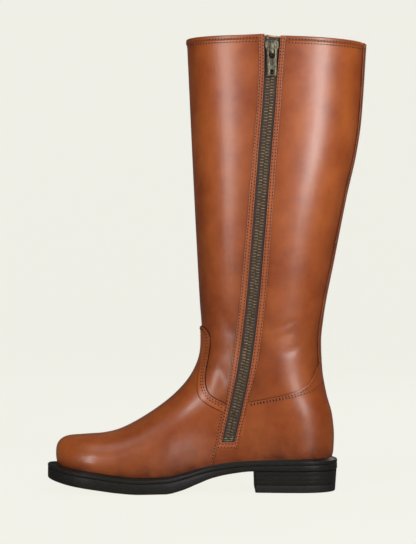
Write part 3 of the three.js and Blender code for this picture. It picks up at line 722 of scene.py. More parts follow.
def closed_rows(tall, across):
    """Rows right round the boot, from the sole's curve to the level collar."""
    base = seat(LINING_BACK) + LINING_FOOT
    top = SHAFT_TOP - 0.4
    outline = front_outline(seat(TOE_TIP) + LINING_FOOT, top)
    length = run_of(outline)[-1]
    last_loop = LOOPS[-1, 0]
    table = LOOPS.copy()
    table[-1] = (last_loop, length, top - base)
    loops = np.linspace(0, last_loop, tall)
    front = walk(outline, column(table, 0, 1)(loops) / length)
    back_height = base + column(table, 0, 2)(loops)
    back = np.stack([back_line(back_height), back_height], axis=1)
    shares = both_spaced(across)
    forward = mix(back[:, :1], front[:, :1], shares)
    straight = mix(back[:, 1:], front[:, 1:], shares)
    sole = seat(forward) + LINING_FOOT - mix(base, outline[0, 1], shares)
    height = straight + (1 - smooth_step(1, 10, loops))[:, None] * sole
    forward, height = there_and_back(forward, forward), there_and_back(height, height)
    side = there_and_back(-np.ones(across), np.ones(across))
    return forward, height, np.broadcast_to(side, forward.shape)


lining_place = closed_rows(110, 60)
lining_rows = on_upper(*lining_place)
lining_rows = lining_rows - row_normals(lining_rows, True) * LINING_DEPTH
lining = grid_piece("lining", lining_rows, around=True, burnish_and_shade=np.zeros(lining_rows.shape[:2]))
lining_calf = leather(
    "lining_leather", (0.5, 0.3, 0.15), (0.42, 0.24, 0.11), (0.3, 0.15, 0.06), 0.6, 0.15
)
finish_piece(lining, lining_calf, LINING, -1.0)
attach(lining, "boot")

# ---- Vamp -----------------------------------------------------------------------------------
# One piece of the same calf over the toe and instep, ending in a tall tongue up the shin. It is
# laid on the shaft's leather and its edge is stitched down.

OVERLAY_LIFT = 0.3
OVERLAY = 1.1
OVERLAY_FOOT = 0.8  # how far above the seat the vamp and the counter end
VAMP_EDGE = (
    (119.5, 18), (117, 32), (114, 44), (111.4, 57), (108.7, 70), (106.8, 78.5), (105.9, 82.7),
    (109, 84.6), (113.4, 86.8), (118.6, 89.8), (122.7, 94.4), (124.9, 102), (124.5, 113), (122, 126),
    (120.4, 138.5), (121, 147), (123.6, 152),
)
TONGUE_TOP = ((123.6, 152), (125.6, 153.9), (127.6, 154.8), (128.6, 155.2))


def patch(bottom, top, rear, front, shares, tall):
    """A side-view sheet between four lines. Each row runs from the rear line to the front one."""
    rise = np.linspace(0, 1, tall)
    c0, c1 = walk(bottom, shares), walk(top, shares)
    d0, d1 = walk(rear, rise), walk(front, rise)
    u, v = shares[None, :, None], rise[:, None, None]
    flat = mix(mix(c0[0], c0[-1], u), mix(c1[0], c1[-1], u), v)
    return mix(c0[None], c1[None], v) + mix(d0[:, None], d1[:, None], u) - flat


def welt_line(start, end):
    forward = np.linspace(start, end, 160)
    return np.stack([forward, seat(forward) + OVERLAY_FOOT], axis=1)


def laid_on(name, rows, lift, burnish_and_shade):
    """A sheet that lies this far off the rows of points below it."""
    return grid_piece(name, rows + row_normals(rows, False) * lift, burnish_and_shade=burnish_and_shade)


def both_sides(sheet, first):
    """Rows that run down one side of the boot and back up the other, through the middle line."""
    near, far = sheet, sheet[:, -2::-1]
    side = np.concatenate([np.full(near.shape[1], first), np.full(far.shape[1], -first)])
    both = np.concatenate([near, far], axis=1)
    return both[..., 0], both[..., 1], np.broadcast_to(side.astype(float), both.shape[:2])


vamp_rear = smooth_line(VAMP_EDGE, 240)
vamp_rear = vamp_rear[vamp_rear[:, 1] > seat(vamp_rear[:, 0]) + OVERLAY_FOOT]
vamp_front = front_outline(seat(TOE_TIP) + OVERLAY_FOOT, TONGUE_TOP[-1][1])
vamp_sheet = patch(
    welt_line(vamp_rear[0, 0], vamp_front[0, 0]), smooth_line(TONGUE_TOP, 12),
    vamp_rear, vamp_front, end_spaced(84), 130,
)
vamp_place = both_sides(vamp_sheet, -1)
vamp_shade = np.clip(low_stain_and_shade(*vamp_place[:2]), 0, 1)
vamp = laid_on("vamp_leather", on_upper(*vamp_place), OVERLAY_LIFT, vamp_shade)
finish_piece(vamp, calf, OVERLAY, 1.0, 0.4)
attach(vamp, "boot")
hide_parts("vamp")

# ---- Instep band ----------------------------------------------------------------------------
# A narrow strip of calf laid on the vamp along its top edge, from the zip up round the tongue. It
# stiffens the edge, and both layers are stitched down together.

BAND = 0.6
BAND_LINE = (
    (107.7, 75.4), (112.2, 77.4), (116.6, 79.5), (121.4, 82), (125.6, 84.7), (129.3, 88),
    (131.2, 92), (131.8, 99), (130.6, 109), (128.7, 120.3), (127.7, 134), (127.5, 146),
    (128, 152), (128.3, 154.6),
)
BAND_LOW = 81.0
BAND_ACROSS = 15
band_rear = vamp_rear[vamp_rear[:, 1] > BAND_LOW]
band_front = smooth_line(BAND_LINE, 200)
for side, word in ((1, "inner"), (-1, "outer")):
    band_sheet = patch(
        np.array([band_rear[0], band_front[0]]), smooth_line(TONGUE_TOP, 12),
        band_rear, band_front, np.linspace(0, 1, BAND_ACROSS), 110,
    )[:, ::side]
    band_rows = on_upper(band_sheet[..., 0], band_sheet[..., 1], side)[:, ::-1]
    # darker at both edges: burnished edges with painted shade where the band steps down to the vamp
    edges = np.abs(np.linspace(-1, 1, BAND_ACROSS))[None, :] ** 8
    band_shade = 0.05 + 0.6 * np.broadcast_to(edges, band_rows.shape[:2])
    band = laid_on(f"instep_band_{word}", band_rows, OVERLAY_LIFT + OVERLAY - 0.05, band_shade)
    finish_piece(band, calf, BAND, 1.0, 0.25)
    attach(band, "boot")

# ---- Heel counter ---------------------------------------------------------------------------
# A stiff cap of calf round the heel, laid on the shaft and stitched down along its top. On the
# inner side it is cut away for the zip's facing.

COUNTER_EDGE = (
    (105.9, 80.2), (100, 81.6), (86.5, 84.2), (72.5, 86.9), (60, 89.4), (46.5, 92.8), (35.5, 96.4),
    (28.6, 100.8), (24.4, 106.2), (21, 113), (18, 118.6), (14.6, 121.2),
)
FACING_OUT = 9.9
FACING_FOOT = 41.2
CUTTER_REACH = 80.0

counter_top = smooth_line(COUNTER_EDGE, 160)
vamp_side = vamp_rear[vamp_rear[:, 1] < 79.8] - np.array([0.35, 0.0])
counter_front = np.concatenate([vamp_side, counter_top[:1]])
BACK_FOOT = 5.0  # where the back of the boot meets the welt
counter_back_height = np.linspace(seat(BACK_FOOT) + OVERLAY_FOOT, COUNTER_EDGE[-1][1], 120)
counter_back = np.stack([back_line(counter_back_height), counter_back_height], axis=1)
counter_sheet = patch(
    welt_line(counter_front[0, 0], counter_back[0, 0]), counter_top,
    counter_front, counter_back, end_spaced(72), 64,
)
counter_place = both_sides(counter_sheet, 1)
counter_shade = np.clip(low_stain_and_shade(*counter_place[:2]), 0, 1)
counter = laid_on("counter_leather", on_upper(*counter_place), OVERLAY_LIFT, counter_shade)
finish_piece(counter, calf, OVERLAY, 1.0, 0.4)


def zip_cutter(name, half, foot, top):
    """A block that follows the zip's line, for cutting a gap in the inner side."""
    corners = ((0.0, -half), (CUTTER_REACH, -half), (CUTTER_REACH, half), (0.0, half))
    rows = np.array([
        [(x, y - zip_at(height), height) for x, y in corners] for height in np.linspace(foot, top, 60)
    ])
    block = grid_piece(name, rows, around=True)
    bpy.ops.object.mode_set(mode="EDIT")
    bpy.ops.mesh.select_all(action="DESELECT")
    bpy.ops.mesh.select_non_manifold()
    bpy.ops.mesh.fill_holes(sides=4)
    bpy.ops.mesh.select_all(action="SELECT")
    bpy.ops.mesh.normals_make_consistent(inside=False)
    bpy.ops.object.mode_set(mode="OBJECT")
    return block


def cut_away(piece, cutter):
    """Takes the space of a cutter out of a piece."""
    pick(piece)
    cut = piece.modifiers.new("gap", "BOOLEAN")
    cut.operation = "DIFFERENCE"
    cut.object = cutter
    bpy.ops.object.modifier_apply(modifier=cut.name)
    bpy.data.objects.remove(cutter)


cut_away(counter, zip_cutter("zip_gap", FACING_OUT + 0.15, FACING_FOOT - 0.3, 100.0))
finish_piece(counter, calf, smooth=40.0)
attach(counter, "boot")
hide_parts("heel_counter")

# ---- Back strip -----------------------------------------------------------------------------
# A narrow strip of calf over the seam up the back of the shaft, from the counter to the collar.
# Two rows of stitches hold each of its edges.

STRIP_HALF = 12.5


def back_forward(height, x):
    """Where the upper's back reaches this half width."""
    width = np.where(x > 0, leg_in(height), leg_out(height))
    share = np.clip(np.abs(x) / width, 0, 0.999)
    return back_line(height) + back_depth(height) * (1 - (1 - share ** ROUND) ** (1 / ROUND))


strip_across = np.linspace(STRIP_HALF, -STRIP_HALF, 33)
strip_low = 121.6 - 1.8 * (np.abs(strip_across) / STRIP_HALF) ** 2
strip_rise = np.linspace(0, 1, 110)[:, None]
strip_height = mix(strip_low[None, :], SHAFT_TOP - 0.2, strip_rise)
strip_x = np.broadcast_to(strip_across, strip_height.shape)
strip_rows = np.stack([strip_x, -back_forward(strip_height, strip_x), strip_height], axis=-1)
# darker towards both edges: burnished edges with painted shade where the strip steps down to the shaft
strip_shade = 0.25 + 0.5 * (np.abs(strip_x) / STRIP_HALF) ** 6
back_strip = laid_on("back_strip_leather", strip_rows, OVERLAY_LIFT, strip_shade)
finish_piece(back_strip, calf, OVERLAY, 1.0, 0.4)
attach(back_strip, "boot")
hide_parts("back_strip")

# ---- Collar binding -------------------------------------------------------------------------
# A folded strip of calf that closes the top edges of the leather and the lining, from one side of
# the zip round to the other. The upper row of stitches below the collar holds it.

# outward offset, height below the collar
BINDING = (
    (0.25, 4.6), (0.75, 4.3), (0.8, 3.6), (0.75, 1.2), (0.55, 0.35), (0.1, 0.0), (-1.0, -0.15),
    (-2.0, 0.0), (-2.4, 0.4), (-2.5, 1.4), (-2.45, 4.0), (-2.1, 4.6),
)
collar_levels = np.array([SHAFT_TOP - 2, SHAFT_TOP - 1, SHAFT_TOP])
collar_forward, collar_height, collar_side = shaft_rows(collar_levels, SLOT_EDGE)
collar_ring = on_upper(collar_forward, collar_height, collar_side)
collar_out = row_normals(collar_ring, False)[1]
collar_out[:, 2] = 0
collar_out = unit(collar_out)
binding_rows = np.array([
    collar_ring[1] * (1, 1, 0) + collar_out * out + np.array([0, 0, SHAFT_TOP - below])
    for out, below in BINDING
])
binding = grid_piece("collar_binding", binding_rows, burnish_and_shade=np.full(binding_rows.shape[:2], 0.35))
finish_piece(binding, calf, smooth=60.0)
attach(binding, "boot")

# ---- Zip facing -----------------------------------------------------------------------------
# A frame of calf strips that covers the cut edges of the leather beside the zip and closes
# below its lower end. Two rows of stitches hold it.

FACING_IN = 6.1
FACING_LIFT = 0.25
FACING = 0.9
FACING_HEAD = 47.2  # the lower end of the zip's gap
FACING_SPREAD = (2.0, 0.9)  # how much further it reaches just above the vamp, and at the collar


def facing_path(out):
    """The frame's line at this distance from the zip's middle: down, across and up."""
    outward = (out - FACING_IN) / (FACING_OUT - FACING_IN)
    foot = mix(FACING_HEAD, FACING_FOOT, outward)
    corner = 0.8 + (out - FACING_IN) * 0.1
    heights = np.linspace(SHAFT_TOP - 0.2, foot + corner, 170)
    spread = mix(*FACING_SPREAD, smooth_step(120, 380, heights)) * smooth_step(84, 125, heights)
    spread = spread * outward
    reach = out + flare_at(heights) + spread
    rear = np.stack([zip_at(heights) - reach, heights], axis=1)
    turn = np.linspace(0, math.pi / 2, 9)[1:]
    middle = zip_at(foot)
    slant = (zip_at(foot + corner) - middle) * (1 - turn / turn[-1])
    low_rear = np.stack([
        middle - out + corner * (1 - np.cos(turn)) + slant,
        foot + corner * (1 - np.sin(turn)),
    ], axis=1)
    flat = np.linspace(middle - out + corner, middle + out - corner, 12)[1:-1]
    base = np.stack([flat, np.full(flat.shape, foot)], axis=1)
    low_front = low_rear[::-1] * (-1, 1) + (2 * middle, 0)
    low_front[:, 0] += 2 * slant[::-1]
    front = rear[::-1] + np.stack([2 * reach[::-1], 0 * heights], axis=1)
    return np.concatenate([rear, low_rear, base, low_front, front])


facing_lines = np.array([facing_path(w) for w in np.linspace(FACING_IN, FACING_OUT, 6)])
facing_side = np.ones(facing_lines.shape[:2])
facing_place = (facing_lines[..., 0], facing_lines[..., 1], facing_side)
facing_rows = on_upper(*facing_place) + face_normal(*facing_place) * FACING_LIFT
facing = grid_piece("zip_facing", facing_rows, burnish_and_shade=np.full(facing_side.shape, 0.22))
strip_calf = leather("strip_calf", (0.33, 0.093, 0.03), (0.26, 0.06, 0.017), TAN_BURNT_AND_SHADED)
finish_piece(facing, strip_calf, FACING, 1.0, 0.25)
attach(facing, "boot")

# ---- Stitching ------------------------------------------------------------------------------
# Waxed tan thread, a stitch every 3 mm, in the rows that hold the leather. Between two stitches
# the needle leaves a hole, and a dark bead paints the shade in it. The cut edges of the vamp, the
# band and the counter are inked, and their dark bead also paints the shadow along each edge.

STITCH_PITCH = 3.0
STITCH_LENGTH = 1.9
STITCH_RADIUS = 0.34
HOLE_LENGTH = 1.5
HOLE_RADIUS = 0.52
EDGE_BEAD_RADIUS = 0.42
WELT_COVERS = 3.8  # height above the seat that the welt hides

thread = new_material("waxed_thread", (0.2, 0.06, 0.025), 0.55)
strands = pattern(thread, "ShaderNodeTexWave", Scale=900.0, Distortion=1.5)
dyed(thread, strands, "Fac", [(0.2, (0.14, 0.036, 0.014)), (0.8, (0.26, 0.08, 0.034))])
raised(thread, strands, "Fac", 0.5, 0.0001)
# near black for the inked cut edges and the needle holes: ink, with painted shadow along the edges and
# painted shade in the holes
edge_ink_and_shade = new_material("edge_ink_and_shade", (0.012, 0.004, 0.002), 0.6)
shader(edge_ink_and_shade).inputs["Specular IOR Level"].default_value = 0.1
edge_streaks = pattern(edge_ink_and_shade, "ShaderNodeTexNoise", Scale=900.0, Detail=3.0)
dyed(edge_ink_and_shade, edge_streaks, "Fac", [(0.3, (0.008, 0.0025, 0.001)), (0.8, (0.03, 0.009, 0.004))])


def join_copies(template, placings, name):
    """Copies of one small piece, each placed by its own matrix, joined as a single piece."""
    bpy.ops.object.select_all(action="DESELECT")
    first = None
    for placing in placings:
        copy = bpy.data.objects.new(name, template.data.copy())
        bpy.context.scene.collection.objects.link(copy)
        copy.data.transform(placing)
        copy.select_set(True)
        first = first or copy
    bpy.context.view_layer.objects.active = first
    bpy.ops.object.join()
    first.name = name
    first.data.name = name
    return first


def stand(centre, along, out):
    """Turns a piece's Z to the direction along and its X to the direction out."""
    along = Vector(along).normalized()
    side = along.cross(Vector(out)).normalized()
    face = side.cross(along)
    turn = Matrix((face, side, along)).transposed().to_4x4()
    return Matrix.Translation(Vector(in_frame(np.asarray(centre)))) @ turn


def bead(name, radius, depth, length, centre, material):
    """A small ball stretched along Z, with this share of its roundness left along X."""
    bpy.ops.object.select_all(action="DESELECT")
    bpy.ops.mesh.primitive_uv_sphere_add(segments=6, ring_count=5, radius=radius * MM)
    ball = bpy.context.object
    ball.name = name
    bpy.ops.object.mode_set(mode="EDIT")
    bpy.ops.mesh.select_all(action="SELECT")
    bpy.ops.transform.resize(value=(depth, 1.0, length / radius / 2))
    bpy.ops.transform.translate(value=(0.0, 0.0, centre * MM))
    bpy.ops.object.mode_set(mode="OBJECT")
    bpy.ops.object.shade_smooth()
    ball.data.materials.append(material)
    return ball


# a dark bead half a pitch along each stitch: painted shade in the needle's hole
needle_hole_shade = bead("one_hole_shade", HOLE_RADIUS, 0.35, HOLE_LENGTH, STITCH_PITCH / 2, edge_ink_and_shade)
stitch = bead("one_stitch", STITCH_RADIUS, 0.7, STITCH_LENGTH, 0.0, thread)
needle_hole_shade.select_set(True)
bpy.ops.object.join()


def off_leather(line, lift):
    """A line of forward, height and side lifted off the leather, and the way out at each place."""
    out = face_normal(*line.T)
    return on_upper(*line.T) + out * (lift + creased(*line.T))[:, None], out


def sew(name, line, lift):
    """A row of stitches along forward, height and side, lifted off the last."""
    base, out = off_leather(line, lift)
    run = run_of(base)
    placings = []
    for middle in (np.arange(int(run[-1] / STITCH_PITCH)) + 0.5) * STITCH_PITCH:
        centre, near, ahead, up = (
            np.array([np.interp(middle + step, run, source[:, k]) for k in range(3)])
            for step, source in ((0, base), (-0.8, base), (0.8, base), (0, out))
        )
        placings.append(stand(centre, ahead - near, up))
    row = join_copies(stitch, placings, name)
    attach(row, "boot")


def on_side(line, side):
    """A side-view line with the side of the boot that it lies on."""
    return np.column_stack([line, np.full(len(line), float(side))])


def inset(line, distance, side):
    """A side-view line moved to its right by a distance measured on the leather."""
    step = np.gradient(line, axis=0)
    right = unit(np.stack([step[:, 1], -step[:, 0]], axis=1))
    slope = upper_x(*on_side(line + right, side).T) - upper_x(*on_side(line, side).T)
    reach = distance / np.sqrt(1 + slope ** 2)
    return on_side(line + right * reach[:, None], side)


def inside_outline(line):
    """Drops the places of a line that lie off the boot or below the welt."""
    keep = line[:, 0] < front_at(line[:, 1]) - 0.02
    keep &= line[:, 1] > seat(line[:, 0]) + WELT_COVERS
    return line[keep]


def inked_and_shaded_edge(name, line, lift):
    """The inked cut edge of a piece of leather with painted shadow along it, a thin dark bead along
    forward, height and side.
    """
    base, out = off_leather(line, lift)
    across = unit(np.cross(out, np.gradient(base, axis=0)))
    swell = np.clip(np.minimum(np.arange(len(line)), np.arange(len(line))[::-1]) / 2.0, 0, 1)
    turn = np.linspace(0, 2 * math.pi, 9)[:-1]
    ring = across[:, None] * np.cos(turn)[None, :, None] + out[:, None] * np.sin(turn)[None, :, None]
    bead_rows = base[:, None] + ring * EDGE_BEAD_RADIUS * swell[:, None, None]
    edge = grid_piece(name, bead_rows, around=True)
    bpy.ops.object.shade_smooth()
    edge.data.materials.append(edge_ink_and_shade)
    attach(edge, "boot")


VAMP_TOP = OVERLAY_LIFT + OVERLAY + 0.05
vamp_outline = np.concatenate([vamp_rear[:-1], smooth_line(TONGUE_TOP, 30)])
for side, word in ((1, "inner"), (-1, "outer")):
    for distance, place in ((1.7, "edge"), (3.7, "second")):
        seam = inside_outline(inset(vamp_outline, distance, side))
        if place == "second":
            seam = seam[seam[:, 1] > BAND_LOW - 1]
        on_band = smooth_step(BAND_LOW - 3, BAND_LOW, seam[:, 1])
        sew(f"vamp_stitches_{word}_{place}", seam, VAMP_TOP + BAND * on_band)
    cut = inside_outline(inset(vamp_outline, -0.2, side))
    inked_and_shaded_edge(f"vamp_edge_{word}", cut, 0.45)
    fold = inside_outline(inset(band_front, 0.2, side))
    inked_and_shaded_edge(f"band_edge_{word}", fold, OVERLAY_LIFT + OVERLAY)

COUNTER_SECOND = (
    (106, 77.6), (100, 79), (86, 81.6), (72, 84.2), (60, 86.6), (46, 89.2), (36, 91.6), (26, 95),
    (19.6, 98.8), (15, 103),
)
for side, word in ((1, "inner"), (-1, "outer")):
    by_edge = inset(counter_top[::-1], 1.7, side)
    second = on_side(smooth_line(COUNTER_SECOND, 160), side)
    for line, place in ((by_edge, "edge"), (second, "second")):
        if side > 0:
            line = line[line[:, 0] < zip_at(line[:, 1]) - FACING_OUT - 1.0]
        line = line[line[:, 0] > back_line(line[:, 1]) + 0.6]
        sew(f"counter_stitches_{word}_{place}", line, VAMP_TOP)
    rim = on_side(counter_top, side)
    if side > 0:
        rim = rim[rim[:, 0] < zip_at(rim[:, 1]) - FACING_OUT - 0.4]
    inked_and_shaded_edge(f"counter_edge_{word}", rim[rim[:, 0] > back_line(rim[:, 1]) + 0.4], 0.5)

for out, place in ((FACING_IN + 0.9, "inner_row"), (FACING_OUT - 0.8, "outer_row")):
    sew(f"facing_stitches_{place}", on_side(facing_path(out), 1), FACING_LIFT + FACING + 0.05)

for below, lift, place in ((3.3, 0.8, "edge"), (6.6, 0.05, "second")):
    level = shaft_rows(np.array([SHAFT_TOP - below]), FACING_OUT + FACING_SPREAD[1] + 0.8)
    sew(f"collar_stitches_{place}", np.column_stack([values[0] for values in level]), lift)

for x, place in ((10.9, "inner_edge"), (9.0, "inner"), (-9.0, "outer"), (-10.9, "outer_edge")):
    rise = np.linspace(122.5, SHAFT_TOP - 2.5, 400)
    seam = np.column_stack([back_forward(rise, np.full(rise.shape, x)), rise])
    sew(f"back_strip_stitches_{place}", on_side(seam, np.sign(x)), VAMP_TOP)
bpy.data.objects.remove(stitch)

# ---- Zip tape -------------------------------------------------------------------------------
# Dark woven tape behind the gap, sewn under both edges of the leather. A thick cord along each
# side of its middle carries the teeth.

TAPE_HALF = 8.2
TAPE_DEPTH = 1.15
TAPE = 0.45


def along_zip(rise, across):
    """Level rows of places beside the zip's middle, and the way out at each."""
    forward = zip_at(rise)[:, None] + across[None, :]
    place = forward, np.repeat(rise[:, None], len(across), axis=1), np.ones(forward.shape)
    return on_upper(*place), face_normal(*place)


tape_across = np.linspace(TAPE_HALF, -TAPE_HALF, 13)
tape_base, tape_out = along_zip(np.linspace(44.5, SHAFT_TOP - 2, 190), tape_across)
cord = 0.5 * np.exp(-((np.abs(tape_across) - 3.4) / 0.8) ** 2)
tape = grid_piece("zip_tape_woven", tape_base + tape_out * (cord[None, :, None] - TAPE_DEPTH))

weave = new_material("woven_tape", (0.04, 0.022, 0.017), 0.85)
weave_map = add_node(weave, "ShaderNodeUVMap")
warp = add_node(weave, "ShaderNodeTexWave", Scale=420.0, Distortion=0.4, bands_direction="X")
weft = add_node(weave, "ShaderNodeTexWave", Scale=520.0, Distortion=0.4, bands_direction="DIAGONAL")
join(weave, weave_map, "UV", warp, "Vector")
join(weave, weave_map, "UV", weft, "Vector")
cross = add_node(weave, "ShaderNodeMath", operation="MULTIPLY")
join(weave, warp, "Fac", cross, 0)
join(weave, weft, "Fac", cross, 1)
dyed(weave, cross, "Value", [(0.0, (0.02, 0.012, 0.009)), (1.0, (0.1, 0.06, 0.047))])
raised(weave, cross, "Value", 0.6, 0.0003)
shader(weave).inputs["Sheen Weight"].default_value = 0.08
finish_piece(tape, weave, TAPE, -1.0)
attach(tape, "boot")
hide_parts("zip_tape")

# ---- Zip teeth ------------------------------------------------------------------------------
# Two rows of antique brass teeth, clamped on the tape's cords and locked between each other. Each
# is a small block with its edges broken.

TOOTH_PITCH = 2.7
CHAIN_LOW = 53.4
CHAIN_HIGH = 402.6
TOOTH = (1.4, 3.6, 1.15)  # thickness, reach across and height of one tooth
TOOTH_DEPTH = 0.95
TOOTH_BEVEL = 0.28
ROW_OFFSET = 2.0


def metal(name, bright, dull, roughness):
    """Aged metal: brighter where it is rubbed, dull and brown in patches."""
    material = new_material(name, bright, roughness, 1.0)
    patina = pattern(material, "ShaderNodeTexNoise", Scale=420.0, Detail=4.0)
    dyed(material, patina, "Fac", [(0.35, dull), (0.65, bright)])
    polished(material, patina, roughness + 0.15, roughness - 0.08)
    raised(material, patina, "Fac", 0.25, 0.00008)
    return material


brass = metal("antique_brass", (0.4, 0.31, 0.16), (0.13, 0.09, 0.045), 0.4)
bpy.ops.object.select_all(action="DESELECT")
bpy.ops.mesh.primitive_cube_add(size=MM)
tooth = bpy.context.object
tooth.name = "one_tooth"
bpy.ops.object.mode_set(mode="EDIT")
bpy.ops.mesh.select_all(action="SELECT")
bpy.ops.transform.resize(value=TOOTH)
bpy.ops.mesh.bevel(offset=TOOTH_BEVEL * MM, segments=1, affect="EDGES")
bpy.ops.object.mode_set(mode="OBJECT")
for vertex in tooth.data.vertices:
    # the head at the middle of the zip is lower and a little narrower than the gripping end
    grip = 0.5 - vertex.co.y / MM / TOOTH[1]
    vertex.co.z *= mix(0.82, 1.08, grip)
    vertex.co.x *= mix(0.8, 1.0, grip)
bpy.ops.object.shade_smooth_by_angle(angle=math.radians(30))
tooth.data.materials.append(brass)


def tooth_placings(first, direction):
    """Where the teeth of one side stand. direction is 1 for the front row, -1 for the back."""
    placings = []
    for i in range(int((CHAIN_HIGH - CHAIN_LOW) / TOOTH_PITCH)):
        levels = first + i * TOOTH_PITCH + np.array([0.0, 3.0])
        places, ways_out = along_zip(levels, np.array([direction * ROW_OFFSET]))
        (base,), (above,) = places
        (out,) = ways_out[0]
        placing = stand(base - out * TOOTH_DEPTH, above - base, out)
        if direction > 0:
            placing = placing @ Matrix.Rotation(math.pi, 4, "X")
        placings.append(placing)
    return placings


for direction, first, word in ((1, CHAIN_LOW, "front"), (-1, CHAIN_LOW + TOOTH_PITCH / 2, "back")):
    row = join_copies(tooth, tooth_placings(first, direction), f"zip_teeth_{word}")
    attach(row, "boot")
    if direction > 0:
        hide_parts("zip_chain")
bpy.data.objects.remove(tooth)

# ---- Welt -----------------------------------------------------------------------------------
# A strip of black stained leather right round the boot, sewn between the upper and the outsole.
# Its rim stands proud of the upper.

SOLE_LENGTH = 274.0
HEEL_ROUND = 36.0
TOE_ROUND = 50.0
WELT_FOOT = -1.7  # the welt's underside against the top of the outsole
WELT_GAP = 1.2
RING = 110


def sole_ring(inward, level):
    """A ring round the sole's edge, drawn in by this much, at the height level gives."""
    forward = mix(inward, SOLE_LENGTH - inward, both_spaced(RING))
    ends = closing(forward - inward, HEEL_ROUND - inward)
    ends = ends * closing(SOLE_LENGTH - inward - forward, TOE_ROUND - inward)
    axis = foot_axis(forward)
    outer = axis - (edge_out(forward) + axis - inward) * ends
    inner = axis + (edge_in(forward) - axis - inward) * ends
    forward = there_and_back(forward, forward)
    return np.stack([there_and_back(outer, inner), -forward, level(forward)], axis=1)


def feather_ring(rise):
    """A ring close round the upper, this far above the seat."""
    forward = mix(back_line(32.0), TOE_TIP - 0.6, both_spaced(RING))
    forward = there_and_back(forward, forward)
    side = there_and_back(-np.ones(RING), np.ones(RING))
    ring = on_upper(forward, seat(forward) + 3.3, side)
    along = np.roll(ring, -1, axis=0) - np.roll(ring, 1, axis=0)
    ring = ring + unit(np.cross(along, (0.0, 0.0, 1.0))) * WELT_GAP
    ring[:, 2] = seat(forward) + rise
    return ring


welt_in = feather_ring(3.5)
welt_rim = sole_ring(0.9, lambda f: sole_top(f) + 1.85)
welt_rows = np.array([
    feather_ring(WELT_FOOT),
    sole_ring(0.5, lambda f: sole_top(f) + WELT_FOOT),
    sole_ring(0.1, lambda f: sole_top(f) + WELT_FOOT + 0.25),
    sole_ring(0.0, lambda f: sole_top(f) + WELT_FOOT + 0.8),
    sole_ring(0.0, lambda f: sole_top(f) + 0.9),
    sole_ring(0.12, lambda f: sole_top(f) + 1.4),
    sole_ring(0.4, lambda f: sole_top(f) + 1.7),
    welt_rim,
    mix(welt_rim, welt_in, 0.35) - (0, 0, 0.25),
    mix(welt_rim, welt_in, 0.7) - (0, 0, 0.35),
    mix(welt_rim, welt_in, 0.9) - (0, 0, 0.1),
    welt_in,
    feather_ring(WELT_FOOT),
])
welt = grid_piece("welt_strip", welt_rows, around=True)


def stained(name, colour, roughness, scale):
    """Black stained and waxed leather edge with faint streaks."""
    material = new_material(name, colour, roughness)
    shader(material).inputs["Specular IOR Level"].default_value = 0.13
    stretch = pattern(material, "ShaderNodeMapping", Scale=(1.0, 1.0, 6.0))
    streaks = add_node(material, "ShaderNodeTexNoise", Scale=scale, Detail=5.0)
    join(material, stretch, "Vector", streaks, "Vector")
    light = tuple(level * 1.8 for level in colour)
    dyed(material, streaks, "Fac", [(0.35, colour), (0.75, light)])
    polished(material, streaks, roughness - 0.08, roughness + 0.12)
    raised(material, streaks, "Fac", 0.3, 0.00015)
    return material


black_edge = stained("black_edge", (0.009, 0.0078, 0.0068), 0.38, 240.0)
finish_piece(welt, black_edge, smooth=60.0)
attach(welt, "boot")
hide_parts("welt")

# ---- Outsole --------------------------------------------------------------------------------
# One thick sole with a black edge, cut to the welt's outline. Its underside is plain tan leather
# ahead of the heel.

HEEL_LENGTH = 79.0


def scaled_ring(ring, share, level):
    """A ring drawn in towards the sole's middle line."""
    forward = SOLE_LENGTH / 2 + (-ring[:, 1] - SOLE_LENGTH / 2) * mix(0.88, 1.0, share)
    axis = foot_axis(forward)
    x = axis + (ring[:, 0] - foot_axis(-ring[:, 1])) * share
    return np.stack([x, -forward, level(forward)], axis=1)


def lid_level(forward):
    return sole_top(forward) + WELT_FOOT - 0.15


sole_lip = sole_ring(1.3, sole_bottom)
sole_lid = sole_ring(0.6, lid_level)
outsole_rows = np.array(
    [scaled_ring(sole_lip, share, sole_bottom) for share in (0.0, 0.3, 0.6, 0.85, 0.96)]
    + [
        sole_lip,
        sole_ring(0.55, lambda f: sole_bottom(f) + 0.3),
        sole_ring(0.15, lambda f: sole_bottom(f) + 0.9),
        sole_ring(0.0, lambda f: sole_bottom(f) + 1.7),
        sole_ring(0.0, lambda f: sole_top(f) + WELT_FOOT - 1.0),
        sole_ring(0.15, lambda f: sole_top(f) + WELT_FOOT - 0.4),
        sole_lid,
    ]
    + [scaled_ring(sole_lid, share, lid_level) for share in (0.85, 0.5, 0.0)]
)
outsole = grid_piece("outsole_leather", outsole_rows, around=True)
finish_piece(outsole, black_edge, smooth=60.0)
under_leather = leather(
    "sole_underside", (0.36, 0.2, 0.1), (0.28, 0.15, 0.07), (0.2, 0.1, 0.05), 0.55, 0.3
)
outsole.data.materials.append(under_leather)
for face in outsole.data.polygons:
    if face.normal.z < -0.75 and face.center.y < MIDDLE[1] - (HEEL_LENGTH + 0.5) * MM:
        face.material_index = 1
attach(outsole, "boot")
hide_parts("outsole")

# ---- Heel -----------------------------------------------------------------------------------
# Stacked lifts of leather with a black edge and a straight breast, nailed under the outsole, and
# a rubber top lift below them.

LIFT_HEIGHT = 7.0
HEEL_TOP = 19.8
BREAST_CORNER = 1.2
HEEL_MIDDLE = 40.0


